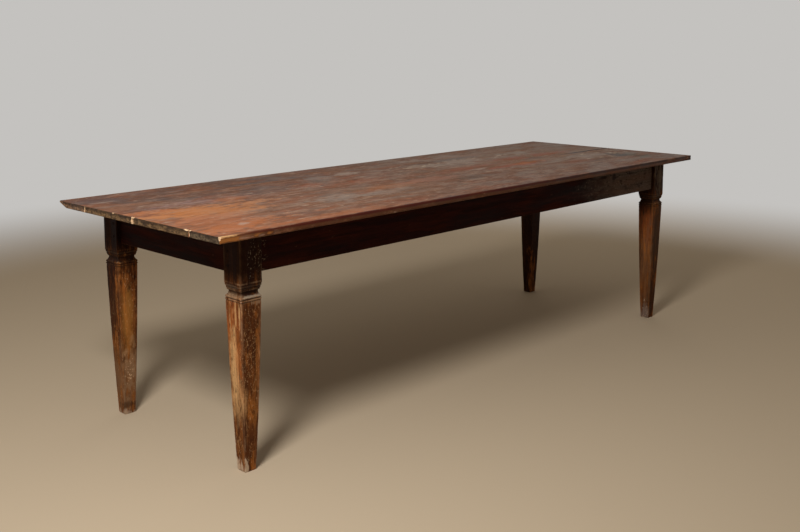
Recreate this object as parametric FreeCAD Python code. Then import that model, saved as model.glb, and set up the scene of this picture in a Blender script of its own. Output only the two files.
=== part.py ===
import FreeCAD, Part
import math
import os
from collections import namedtuple

# Farmhouse dining table: four wide boards on a pegged frame with tapered square legs.
# Sizes are in millimetres. The origin is on the floor under the middle of the top. X runs
# along the table, Y across it towards the back edge, and Z points up.

# Top boards
TABLE_HEIGHT = 780.0
TOP_LENGTH = 2743.0
TOP_THICKNESS = 22.0
BACK_BOARD_WIDTH = 174.0
MID_BACK_BOARD_WIDTH = 293.0
MID_FRONT_BOARD_WIDTH = 308.0
FRONT_BOARD_WIDTH = 154.0
JOINT_GAP = 0.4
BACK_BEVEL_WIDTH = 44.0
BACK_BEVEL_HEIGHT = 17.0
FRONT_UPPER_RADIUS = 3.0
FRONT_LOWER_RADIUS = 5.0
END_RADIUS = 2.0
END_OVERHANG = 125.0
SIDE_OVERHANG = 73.0

# Loose tongues in the joints between the boards
TONGUE_WIDTH = 22.0
TONGUE_THICKNESS = 6.0
TONGUE_BELOW_TOP = 6.0
TONGUE_CLEARANCE = 0.15
GROOVE_STOP = 60.0
GROOVE_END_GAP = 2.0

# Legs
POST_WIDTH = 82.5
POST_DROP = 26.0
OVOLO_HEIGHT = 21.0
OVOLO_FOOT_WIDTH = 72.5
FILLET_HEIGHT = 3.0
COVE_TOP_WIDTH = 69.5
COVE_HEIGHT = 6.0
COVE_RISE = 0.8
NECK_WIDTH = 64.5
FLARE_HEIGHT = 14.0
FLARE_RISE = 1.6
COLLAR_WIDTH = 80.0
COLLAR_HEIGHT = 12.0
COLLAR_CHAMFER = 2.5
SHAFT_TOP_WIDTH = 77.8
SHAFT_SWELL = 1.7
FOOT_WIDTH = 42.0
FOOT_CHAMFER = 2.0

# Aprons and their haunched tenons
APRON_HEIGHT = 128.0
APRON_THICKNESS = 28.0
APRON_SETBACK = 15.0
TENON_THICKNESS = 12.0
TENON_LOWER_SHOULDER = 10.0
HAUNCH_HEIGHT = 25.0
HAUNCH_LENGTH = 10.0
TENON_CLEARANCE = 0.15
MORTISE_WALL = 8.0
MORTISE_END_GAP = 2.0

# Pegs through the tenons
PEG_DIAMETER = 10.0
PEG_INSET = 20.0
PEG_HEIGHTS = (24.0, 70.0)
PEG_PROUD = 0.8
PEG_WALL = 7.0
PEG_CLEARANCE = 0.1

# Cross bearers under the boards
BEARER_COUNT = 3
BEARER_WIDTH = 50.0
BEARER_HEIGHT = 40.0
STUB_LENGTH = 12.0
STUB_WIDTH = 30.0
STUB_HEIGHT = 24.0
STUB_BELOW_TOP = 8.0
STUB_CLEARANCE = 0.15

# Wooden buttons that hold the top down
BUTTON_LENGTH = 50.0
BUTTON_REACH = 40.0
BUTTON_THICKNESS = 20.0
BUTTON_GAP = 1.0
BUTTON_TONGUE_LENGTH = 8.0
BUTTON_TONGUE_HEIGHT = 8.0
BUTTON_TONGUE_BELOW_TOP = 10.0
END_BUTTON_SPACING = 300.0
SLOT_SIDE_ROOM = 4.0
SLOT_CLEARANCE = 1.0

# Countersunk wood screws
SCREW_DIAMETER = 4.8
SCREW_HEAD_DIAMETER = 9.2
SCREW_HEAD_HEIGHT = 2.8
SCREW_SLOT_WIDTH = 1.2
SCREW_SLOT_DEPTH = 1.0
SCREW_TIP_HEIGHT = 4.0
SCREW_TIP_WALL = 1.5
SCREW_CLEARANCE = 0.1
SCREW_EDGE_ROOM = 16.0
BUTTON_SCREW_INSET = 20.0
WIDE_BOARD = 200.0

# How far a cutting solid reaches past the face that it starts from
CUT_PAST = 1.0

# Worked out from the sizes above
BOARD_WIDTHS = (BACK_BOARD_WIDTH, MID_BACK_BOARD_WIDTH, MID_FRONT_BOARD_WIDTH, FRONT_BOARD_WIDTH)
BOARD_NAMES = ("back", "mid_back", "mid_front", "front")
TONGUE_NAMES = ("back", "centre", "front")
TOP_WIDTH = sum(BOARD_WIDTHS) + JOINT_GAP * (len(BOARD_WIDTHS) - 1)
FRAME_TOP = TABLE_HEIGHT - TOP_THICKNESS
APRON_BOTTOM = FRAME_TOP - APRON_HEIGHT
LEG_X = TOP_LENGTH / 2 - END_OVERHANG - POST_WIDTH / 2
LEG_Y = TOP_WIDTH / 2 - SIDE_OVERHANG - POST_WIDTH / 2
TENON_LENGTH = POST_WIDTH - APRON_SETBACK - APRON_THICKNESS / 2 - TENON_THICKNESS / 2 - MORTISE_WALL
TONGUE_TOP = TABLE_HEIGHT - TONGUE_BELOW_TOP
SCREW_BITE = TOP_THICKNESS - TONGUE_BELOW_TOP - TONGUE_THICKNESS - TONGUE_CLEARANCE - SCREW_TIP_WALL

# The rise of a quarter circle over its chord, for a radius of one
QUARTER_RISE = 1 - math.sqrt(0.5)

ORIGIN = FreeCAD.Vector(0, 0, 0)
ALONG_X = FreeCAD.Vector(1, 0, 0)
ALONG_Y = FreeCAD.Vector(0, 1, 0)
ALONG_Z = FreeCAD.Vector(0, 0, 1)

# One side of the frame: where its apron meets the posts, where its faces lie, and where its
# pegs end, short of the pegs that cross the same post
Side = namedtuple("Side", "shoulder post_face outer centre inner peg_end")


def frame_side(leg_along, leg_across):
    """The side whose legs stand leg_along from its middle and leg_across from the table's."""
    post_face = leg_across + POST_WIDTH / 2
    outer = post_face - APRON_SETBACK
    crossing_peg = leg_across - POST_WIDTH / 2 + PEG_INSET
    return Side(
        shoulder=leg_along - POST_WIDTH / 2,
        post_face=post_face,
        outer=outer,
        centre=outer - APRON_THICKNESS / 2,
        inner=outer - APRON_THICKNESS,
        peg_end=crossing_peg + PEG_DIAMETER / 2 + PEG_WALL,
    )


LONG_SIDE = frame_side(LEG_X, LEG_Y)
END_SIDE = frame_side(LEG_Y, LEG_X)


# Helpers for shapes


def block(x_range, y_range, z_range):
    """A box between three pairs of limits."""
    lows, highs = zip(x_range, y_range, z_range)
    size = [high - low for low, high in zip(lows, highs)]
    return Part.makeBox(*size, FreeCAD.Vector(*lows))


def outline_face(points, place):
    """A face inside (u, v, rise) points, where place turns u and v into a point in space.

    The edge that leaves a point is straight where its rise is 0, and otherwise an arc that
    rises to the right of its way. That is outwards, because the points run anticlockwise.
    """
    edges = []
    for start, end in zip(points, points[1:] + points[:1]):
        first = place(start[0], start[1])
        last = place(end[0], end[1])
        if start[2] == 0:
            edges.append(Part.LineSegment(first, last).toShape())
            continue
        step_u = end[0] - start[0]
        step_v = end[1] - start[1]
        share = start[2] / math.hypot(step_u, step_v)
        middle_u = (start[0] + end[0]) / 2 + step_v * share
        middle_v = (start[1] + end[1]) / 2 - step_u * share
        edges.append(Part.Arc(first, place(middle_u, middle_v), last).toShape())
    return Part.Face(Part.Wire(edges))


def in_xz(y):
    """A place function for outlines that stand across the table at y."""
    return lambda u, v: FreeCAD.Vector(u, y, v)


def in_yz(x):
    """A place function for outlines that stand along the table at x."""
    return lambda u, v: FreeCAD.Vector(x, u, v)


def swapped(shape):
    """The shape with X and Y exchanged, so that a long side's piece becomes an end's."""
    return shape.mirror(ORIGIN, ALONG_X - ALONG_Y)


def at_corner(shape, side_x, side_y):
    """A shape made for the back right corner, mirrored to the corner with these signs."""
    if side_x < 0:
        shape = shape.mirror(ORIGIN, ALONG_X)
    if side_y < 0:
        shape = shape.mirror(ORIGIN, ALONG_Y)
    return shape


def at_all_corners(shapes):
    """Copies of the shapes at the four corners."""
    signs = [(x, y) for x in (-1, 1) for y in (-1, 1)]
    return [at_corner(shape, x, y) for shape in shapes for x, y in signs]


def evenly(count, low, high):
    """The middles of count equal parts of the stretch from low to high."""
    step = (high - low) / count
    return [low + step * (index + 0.5) for index in range(count)]


def cut_by(shape, cutters):
    """The shape with the cutting solids that reach it taken away."""
    box = shape.BoundBox
    near = [cutter for cutter in cutters if box.intersect(cutter.BoundBox)]
    return shape.cut(near) if near else shape


# Places that several pieces share


def board_limits():
    """The (low, high) limits in Y of each board, from the back edge to the front edge."""
    limits = []
    high = TOP_WIDTH / 2
    for width in BOARD_WIDTHS:
        limits.append((high - width, high))
        high -= width + JOINT_GAP
    return limits


def joint_lines():
    """The middles in Y of the joints between the boards, from the back to the front."""
    return [low - JOINT_GAP / 2 for low, high in board_limits()[:-1]]


def bearer_lines():
    """The middles in X of the cross bearers, which share out the room between the end aprons."""
    pitch = 2 * END_SIDE.inner / (BEARER_COUNT + 1)
    return [pitch * (index + 1) - END_SIDE.inner for index in range(BEARER_COUNT)]


def bearer_screw_places():
    """The (x, y) of the screws through the bearers: two in a wide board and one in a narrow."""
    places = []
    for low, high in board_limits():
        low = max(low, -LONG_SIDE.inner)
        high = min(high, LONG_SIDE.inner)
        count = 2 if high - low > WIDE_BOARD else 1
        if high - low < 2 * SCREW_EDGE_ROOM:
            continue
        places += [(x, y) for x in bearer_lines() for y in evenly(count, low, high)]
    return places


def long_button_lines():
    """The middles in X of the buttons on a long apron, one in each bay between the bearers."""
    return evenly(BEARER_COUNT + 1, -END_SIDE.inner, END_SIDE.inner)


def end_button_lines():
    """The middles in Y of the buttons on an end apron."""
    return [-END_BUTTON_SPACING / 2, END_BUTTON_SPACING / 2]


def on_all_aprons(make):
    """What make(side, place) gives for each button, on all four aprons."""
    back = [make(LONG_SIDE, place) for place in long_button_lines()]
    right = [swapped(make(END_SIDE, place)) for place in end_button_lines()]
    front = [shape.mirror(ORIGIN, ALONG_Y) for shape in back]
    left = [shape.mirror(ORIGIN, ALONG_X) for shape in right]
    return back + right + front + left


# Screws


def screw(x, y, bottom, clearance=0.0):
    """A countersunk screw pointing up, its head flush at bottom, or with clearance its hole."""
    radius = SCREW_DIAMETER / 2 + clearance
    head_radius = SCREW_HEAD_DIAMETER / 2 + clearance
    top = FRAME_TOP + SCREW_BITE + clearance
    points = [
        FreeCAD.Vector(0, 0, bottom),
        FreeCAD.Vector(head_radius, 0, bottom),
        FreeCAD.Vector(radius, 0, bottom + SCREW_HEAD_HEIGHT),
        FreeCAD.Vector(radius, 0, top - SCREW_TIP_HEIGHT),
        FreeCAD.Vector(0, 0, top),
    ]
    half = Part.Face(Part.makePolygon(points + points[:1]))
    body = half.revolve(ORIGIN, ALONG_Z, 360)
    if clearance == 0:
        width = SCREW_SLOT_WIDTH / 2
        reach = SCREW_HEAD_DIAMETER
        slot = block((-reach, reach), (-width, width), (bottom - CUT_PAST, bottom + SCREW_SLOT_DEPTH))
        body = body.cut(slot)
    body.translate(FreeCAD.Vector(x, y, 0))
    return body


def bearer_screws(clearance=0.0):
    """The screws through the bearers into the boards, or with clearance their holes."""
    bottom = FRAME_TOP - BEARER_HEIGHT
    return [screw(x, y, bottom, clearance) for x, y in bearer_screw_places()]


def button_screws(clearance=0.0):
    """The screws through the buttons into the boards, or with clearance their holes."""
    bottom = FRAME_TOP - BUTTON_THICKNESS
    return on_all_aprons(lambda side, place: screw(place, side.inner - BUTTON_SCREW_INSET, bottom, clearance))


# Top


def board_section(low, high, is_back, is_front):
    """The outline of a board's end, with the shape of the edge that shows."""
    bottom = FRAME_TOP
    top = TABLE_HEIGHT
    points = []
    if is_front:
        lower = FRONT_LOWER_RADIUS
        upper = FRONT_UPPER_RADIUS
        points.append((low, top - upper, 0))
        points.append((low, bottom + lower, lower * QUARTER_RISE))
        points.append((low + lower, bottom, 0))
    else:
        points.append((low, bottom, 0))
    if is_back:
        points.append((high - BACK_BEVEL_WIDTH, bottom, 0))
        points.append((high, bottom + BACK_BEVEL_HEIGHT, 0))
    else:
        points.append((high, bottom, 0))
    points.append((high, top, 0))
    if is_front:
        points.append((low + upper, top, upper * QUARTER_RISE))
    else:
        points.append((low, top, 0))
    return points


def length_section():
    """The outline of the top seen from the front, with its ends rounded at both arrises."""
    end = TOP_LENGTH / 2
    rise = END_RADIUS * QUARTER_RISE
    return [
        (END_RADIUS - end, FRAME_TOP, 0),
        (end - END_RADIUS, FRAME_TOP, rise),
        (end, FRAME_TOP + END_RADIUS, 0),
        (end, TABLE_HEIGHT - END_RADIUS, rise),
        (end - END_RADIUS, TABLE_HEIGHT, 0),
        (END_RADIUS - end, TABLE_HEIGHT, rise),
        (-end, TABLE_HEIGHT - END_RADIUS, 0),
        (-end, FRAME_TOP + END_RADIUS, rise),
    ]


def tongue(line, clearance=0.0, end_gap=0.0):
    """A loose tongue along a joint, or with clearances the two grooves that hold it."""
    half_length = TOP_LENGTH / 2 - GROOVE_STOP - GROOVE_END_GAP + end_gap
    half_width = TONGUE_WIDTH / 2 + clearance
    low = TONGUE_TOP - TONGUE_THICKNESS - clearance
    return block(
        (-half_length, half_length),
        (line - half_width, line + half_width),
        (low, TONGUE_TOP + clearance),
    )


def top_boards():
    """The four boards, grooved for their tongues and bored for the screws from below."""
    cutters = [tongue(line, TONGUE_CLEARANCE, GROOVE_END_GAP) for line in joint_lines()]
    cutters += bearer_screws(SCREW_CLEARANCE)
    cutters += button_screws(SCREW_CLEARANCE)
    limits = board_limits()
    boards = []
    for index, (low, high) in enumerate(limits):
        section = board_section(low, high, index == 0, index == len(limits) - 1)
        lengthwise = outline_face(section, in_yz(-TOP_LENGTH / 2)).extrude(ALONG_X * TOP_LENGTH)
        crosswise = outline_face(length_section(), in_xz(low)).extrude(ALONG_Y * (high - low))
        boards.append(cut_by(lengthwise.common(crosswise), cutters))
    return boards


# Legs


def leg_section():
    """The outline of a leg about its own middle, the same from the front and from the side.

    The ovolo under the post ends upright, in line with the post's faces.
    """
    post_bottom = APRON_BOTTOM - POST_DROP
    ovolo_foot = post_bottom - OVOLO_HEIGHT
    cove_top = ovolo_foot - FILLET_HEIGHT
    neck = cove_top - COVE_HEIGHT
    collar_top = neck - FLARE_HEIGHT
    collar_bottom = collar_top - COLLAR_HEIGHT
    shaft_top = collar_bottom - COLLAR_CHAMFER
    ovolo_step = (POST_WIDTH - OVOLO_FOOT_WIDTH) / 2
    ovolo_slope = math.atan2(ovolo_step, OVOLO_HEIGHT)
    ovolo_rise = math.hypot(ovolo_step, OVOLO_HEIGHT) / 2 * math.tan(ovolo_slope / 2)
    right = [
        (FOOT_WIDTH / 2 - FOOT_CHAMFER, 0, 0),
        (FOOT_WIDTH / 2, FOOT_CHAMFER, SHAFT_SWELL),
        (SHAFT_TOP_WIDTH / 2, shaft_top, 0),
        (COLLAR_WIDTH / 2, collar_bottom, 0),
        (COLLAR_WIDTH / 2, collar_top, -FLARE_RISE),
        (NECK_WIDTH / 2, neck, -COVE_RISE),
        (COVE_TOP_WIDTH / 2, cove_top, 0),
        (OVOLO_FOOT_WIDTH / 2, cove_top, 0),
        (OVOLO_FOOT_WIDTH / 2, ovolo_foot, ovolo_rise),
        (POST_WIDTH / 2, post_bottom, 0),
        (POST_WIDTH / 2, FRAME_TOP, 0),
    ]
    rises_downwards = [rise for _, _, rise in reversed(right[:-1])] + [0]
    left = [(-u, v, rise) for (u, v, _), rise in zip(reversed(right), rises_downwards)]
    return right + left


def leg():
    """The back right leg with its two mortises and its peg holes."""
    reach = POST_WIDTH
    section = leg_section()
    along_y = outline_face(section, in_xz(-reach)).extrude(ALONG_Y * 2 * reach)
    along_x = outline_face(section, in_yz(-reach)).extrude(ALONG_X * 2 * reach)
    body = along_y.common(along_x)
    body.translate(FreeCAD.Vector(LEG_X, LEG_Y, 0))
    return cut_by(body, corner_mortises() + corner_pegs(PEG_CLEARANCE))


# Aprons


def tenon(side, clearance=0.0, end_gap=0.0, start=0.0):
    """A haunched tenon at the right end of a back apron, or with clearances its mortise."""
    low = APRON_BOTTOM + TENON_LOWER_SHOULDER - clearance
    haunch = FRAME_TOP - HAUNCH_HEIGHT + clearance
    root = side.shoulder - start
    tip = side.shoulder + TENON_LENGTH + end_gap
    stub = side.shoulder + HAUNCH_LENGTH + clearance
    top = FRAME_TOP + start
    points = [
        (root, low, 0),
        (tip, low, 0),
        (tip, haunch, 0),
        (stub, haunch, 0),
        (stub, top, 0),
        (root, top, 0),
    ]
    thickness = TENON_THICKNESS + 2 * clearance
    return outline_face(points, in_xz(side.centre - thickness / 2)).extrude(ALONG_Y * thickness)


def corner_mortises():
    """The two mortises of the back right leg."""
    room = (TENON_CLEARANCE, MORTISE_END_GAP, CUT_PAST)
    return [tenon(LONG_SIDE, *room), swapped(tenon(END_SIDE, *room))]


def pegs(side, clearance=0.0):
    """The pegs through the right tenon of a back apron, or with clearance their holes."""
    inner = side.peg_end - clearance
    outer = side.post_face + PEG_PROUD
    radius = PEG_DIAMETER / 2 + clearance
    along = side.shoulder + PEG_INSET
    starts = [FreeCAD.Vector(along, inner, APRON_BOTTOM + height) for height in PEG_HEIGHTS]
    return [Part.makeCylinder(radius, outer - inner, start, ALONG_Y) for start in starts]


def corner_pegs(clearance=0.0):
    """All the pegs of the back right corner, or with clearance their holes."""
    return pegs(LONG_SIDE, clearance) + [swapped(peg) for peg in pegs(END_SIDE, clearance)]


def button_slot(side, place):
    """The slot in a back apron for the tongue of a button at place."""
    reach = BUTTON_LENGTH / 2 + SLOT_SIDE_ROOM
    top = FRAME_TOP - BUTTON_TONGUE_BELOW_TOP
    depth = BUTTON_TONGUE_LENGTH + SLOT_CLEARANCE
    return block(
        (place - reach, place + reach),
        (side.inner - CUT_PAST, side.inner + depth),
        (top - BUTTON_TONGUE_HEIGHT - SLOT_CLEARANCE, top),
    )


def apron(side, button_lines, extra_cutters):
    """A back apron with its tenons, slots for buttons, peg holes and any other cutters."""
    body = block(
        (-side.shoulder, side.shoulder),
        (side.inner, side.outer),
        (APRON_BOTTOM, FRAME_TOP),
    )
    right_tenon = tenon(side)
    left_tenon = right_tenon.mirror(ORIGIN, ALONG_X)
    right_holes = pegs(side, PEG_CLEARANCE)
    left_holes = [hole.mirror(ORIGIN, ALONG_X) for hole in right_holes]
    slots = [button_slot(side, place) for place in button_lines]
    whole = body.fuse([right_tenon, left_tenon]).removeSplitter()
    return cut_by(whole, right_holes + left_holes + slots + extra_cutters)


def long_apron():
    """The back apron, with a mortise for the stub of each bearer."""
    stubs = [bearer_stub(x, STUB_CLEARANCE) for x in bearer_lines()]
    return apron(LONG_SIDE, long_button_lines(), stubs)


def end_apron():
    """The right apron."""
    return swapped(apron(END_SIDE, end_button_lines(), []))


# Bearers


def bearer_stub(x, clearance=0.0):
    """The stub tenon at the back end of a bearer, or with clearance its mortise."""
    half_width = STUB_WIDTH / 2 + clearance
    top = FRAME_TOP - STUB_BELOW_TOP + clearance
    low = FRAME_TOP - STUB_BELOW_TOP - STUB_HEIGHT - clearance
    inner = LONG_SIDE.inner
    return block((x - half_width, x + half_width), (inner, inner + STUB_LENGTH + clearance), (low, top))


def bearer(x):
    """The bearer whose middle is at x, with a stub at each end and holes for its screws."""
    half_width = BEARER_WIDTH / 2
    inner = LONG_SIDE.inner
    body = block(
        (x - half_width, x + half_width),
        (-inner, inner),
        (FRAME_TOP - BEARER_HEIGHT, FRAME_TOP),
    )
    back_stub = bearer_stub(x)
    front_stub = back_stub.mirror(ORIGIN, ALONG_Y)
    whole = body.fuse([back_stub, front_stub]).removeSplitter()
    return cut_by(whole, bearer_screws(SCREW_CLEARANCE))


# Buttons


def button(side, place):
    """The button at place on a back apron, its tongue bearing on the roof of its slot."""
    half_length = BUTTON_LENGTH / 2
    face = side.inner - BUTTON_GAP
    body = block(
        (place - half_length, place + half_length),
        (side.inner - BUTTON_REACH, face),
        (FRAME_TOP - BUTTON_THICKNESS, FRAME_TOP),
    )
    tongue_top = FRAME_TOP - BUTTON_TONGUE_BELOW_TOP
    reach = block(
        (place - half_length, place + half_length),
        (face, side.inner + BUTTON_TONGUE_LENGTH),
        (tongue_top - BUTTON_TONGUE_HEIGHT, tongue_top),
    )
    whole = body.fuse(reach).removeSplitter()
    bottom = FRAME_TOP - BUTTON_THICKNESS
    hole = screw(place, side.inner - BUTTON_SCREW_INSET, bottom, SCREW_CLEARANCE)
    return whole.cut(hole)


# The whole table


def all_nodes():
    """Every named piece of the table, as a dictionary of shapes."""
    nodes = {}
    for name, board in zip(BOARD_NAMES, top_boards()):
        nodes["top_board_" + name] = board
    for name, line in zip(TONGUE_NAMES, joint_lines()):
        nodes["joint_tongue_" + name] = tongue(line)
    corner_leg = leg()
    for side_y, depth in ((-1, "front"), (1, "back")):
        for side_x, hand in ((-1, "left"), (1, "right")):
            nodes["leg_" + depth + "_" + hand] = at_corner(corner_leg, side_x, side_y)
    back = long_apron()
    right = end_apron()
    nodes["apron_back"] = back
    nodes["apron_front"] = back.mirror(ORIGIN, ALONG_Y)
    nodes["apron_right"] = right
    nodes["apron_left"] = right.mirror(ORIGIN, ALONG_X)
    end_pegs = [swapped(peg) for peg in pegs(END_SIDE)]
    nodes["draw_pegs_long_aprons"] = Part.makeCompound(at_all_corners(pegs(LONG_SIDE)))
    nodes["draw_pegs_end_aprons"] = Part.makeCompound(at_all_corners(end_pegs))
    for index, x in enumerate(bearer_lines()):
        nodes["bearer_" + str(index + 1)] = bearer(x)
    nodes["bearer_screws"] = Part.makeCompound(bearer_screws())
    nodes["top_buttons"] = Part.makeCompound(on_all_aprons(button))
    nodes["button_screws"] = Part.makeCompound(button_screws())
    return nodes


def main():
    """Write one STEP file for each piece and print its solids, volume and validity."""
    os.makedirs("parts", exist_ok=True)
    for name, shape in all_nodes().items():
        shape.exportStep(os.path.join("parts", name + ".step"))
        print(name, len(shape.Solids), round(shape.Volume), shape.isValid())


main()
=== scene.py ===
"""Looks of a worn farmhouse table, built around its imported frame.

The boards, legs and aprons are modelled again with worn arrises and chips, and each has its own
wood finish. The tongues, bearers, buttons, pegs and screws stay as they are in the frame, and get a
finish of bare wood, dark wood or steel. Everything is in metres, in the frame's own axes: X along the
table, Y across it, Z up.
"""

import logging
import math
from dataclasses import dataclass, replace
from enum import Enum
from typing import Sequence, Union

import bmesh
import bpy
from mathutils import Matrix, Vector, noise


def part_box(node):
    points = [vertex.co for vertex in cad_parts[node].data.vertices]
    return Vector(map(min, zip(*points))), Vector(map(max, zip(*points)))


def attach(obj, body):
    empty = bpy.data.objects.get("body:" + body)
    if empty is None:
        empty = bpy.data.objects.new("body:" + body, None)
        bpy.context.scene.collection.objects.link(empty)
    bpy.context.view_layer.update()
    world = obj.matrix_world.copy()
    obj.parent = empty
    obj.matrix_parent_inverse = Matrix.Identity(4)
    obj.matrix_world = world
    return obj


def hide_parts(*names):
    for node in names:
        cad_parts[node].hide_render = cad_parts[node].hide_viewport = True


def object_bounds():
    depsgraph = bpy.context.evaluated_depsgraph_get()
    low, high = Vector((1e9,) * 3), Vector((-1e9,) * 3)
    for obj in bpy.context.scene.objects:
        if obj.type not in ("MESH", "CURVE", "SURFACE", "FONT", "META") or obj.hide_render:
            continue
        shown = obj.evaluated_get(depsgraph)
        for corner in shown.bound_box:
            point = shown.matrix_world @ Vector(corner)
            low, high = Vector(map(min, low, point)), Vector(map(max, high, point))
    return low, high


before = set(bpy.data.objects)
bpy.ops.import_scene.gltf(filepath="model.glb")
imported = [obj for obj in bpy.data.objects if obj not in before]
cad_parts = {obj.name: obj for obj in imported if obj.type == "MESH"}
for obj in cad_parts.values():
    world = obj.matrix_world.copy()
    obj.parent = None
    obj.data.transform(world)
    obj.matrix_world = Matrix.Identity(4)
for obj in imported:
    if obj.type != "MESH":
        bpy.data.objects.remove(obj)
CAD_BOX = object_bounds()

BODY = "root"
LOG = logging.getLogger("farmhouse_table")

Pair = tuple[float, float]
Triple = tuple[float, float, float]
Socket = bpy.types.NodeSocket
Value = Union[Socket, float]
Paint = Union[Socket, Triple]
Block = bmesh.types.BMesh

NO_SHIFT: Triple = (0.0, 0.0, 0.0)
# Closer than this, two places are one
TOUCH = 1e-6
# Added to a sum that may be 0 before it divides
NO_ZERO = 1e-9
# The value that a material's noise swings about
NOISE_MIDDLE = 0.5


def shade(red: int, green: int, blue: int) -> Triple:
    """The linear colour that shows as these three screen values.

    Args:
        red: Red from 0 to 255, as a screen shows it.
        green: Green from 0 to 255.
        blue: Blue from 0 to 255.

    Returns:
        The colour as three linear values from 0 to 1.
    """
    straight_end, straight_slope = 0.04045, 12.92
    lift, power = 0.055, 2.4
    linear = []
    for part in (red / 255, green / 255, blue / 255):
        curved = ((part + lift) / (1 + lift)) ** power
        linear.append(part / straight_slope if part <= straight_end else curved)
    return linear[0], linear[1], linear[2]


class Tone(Enum):
    """Colours of stains, bare wood and dirt on the table, and of painted shade."""

    GOLD = shade(186, 116, 62)
    ORANGE = shade(172, 98, 46)
    RUSSET = shade(150, 80, 42)
    BRICK = shade(164, 96, 54)
    LILAC = shade(158, 128, 122)
    GREY = shade(146, 130, 119)
    PALE = shade(176, 156, 140)
    PLUM = shade(96, 64, 58)
    SLATE = shade(80, 75, 58)
    STRAW = shade(206, 160, 108)
    HONEY = shade(176, 112, 52)
    UMBER = shade(84, 46, 22)
    OXBLOOD = shade(70, 17, 10)
    CHESTNUT = shade(146, 76, 42)
    OCHRE = shade(168, 114, 54)
    # Near-black: soot and dirt on some pieces, and painted shade on the posts, the necks and the shaded
    # legs
    SOOT_AND_SHADE = shade(28, 9, 4)
    ASH = shade(118, 88, 62)
    BARK = shade(56, 30, 14)
    TAN = shade(152, 120, 90)
    DUST = shade(150, 134, 114)
    BARE = shade(226, 190, 148)
    BLEACHED = shade(196, 172, 146)


class Grain(Enum):
    """Which way the fibres of a piece run."""

    ALONG = 0
    ACROSS = 1
    UPRIGHT = 2


class Mark(Enum):
    """What a vertex of a modelled piece says about its surface."""

    WORN = "worn"
    CHIP = "chip"
    END = "end"
    UNDER = "under"
    HOLLOW = "hollow"


@dataclass(frozen=True)
class Patch:
    """A stain, rubbed or faded place on a piece.

    Attributes:
        place: Its middle.
        reach: How far it spreads along each axis.
        tone: Its colour.
        strength: How much of what is under it it hides, from 0 to 1.
        covers: Whether it lies over the scuffs and fibres too.
        specks: How many specks in a metre it shows as, or 0 where it is whole.
        fray: How ragged its outline is.
        soft: How wide its fading rim is, as a share of its reach.
    """

    place: Triple
    reach: Triple
    tone: Tone
    strength: float
    covers: bool = False
    specks: float = 0.0
    fray: float = 0.6
    soft: float = 0.8


@dataclass(frozen=True)
class Film(Patch):
    """A patch that lies over the scuffs and fibres."""

    covers: bool = True


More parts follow.
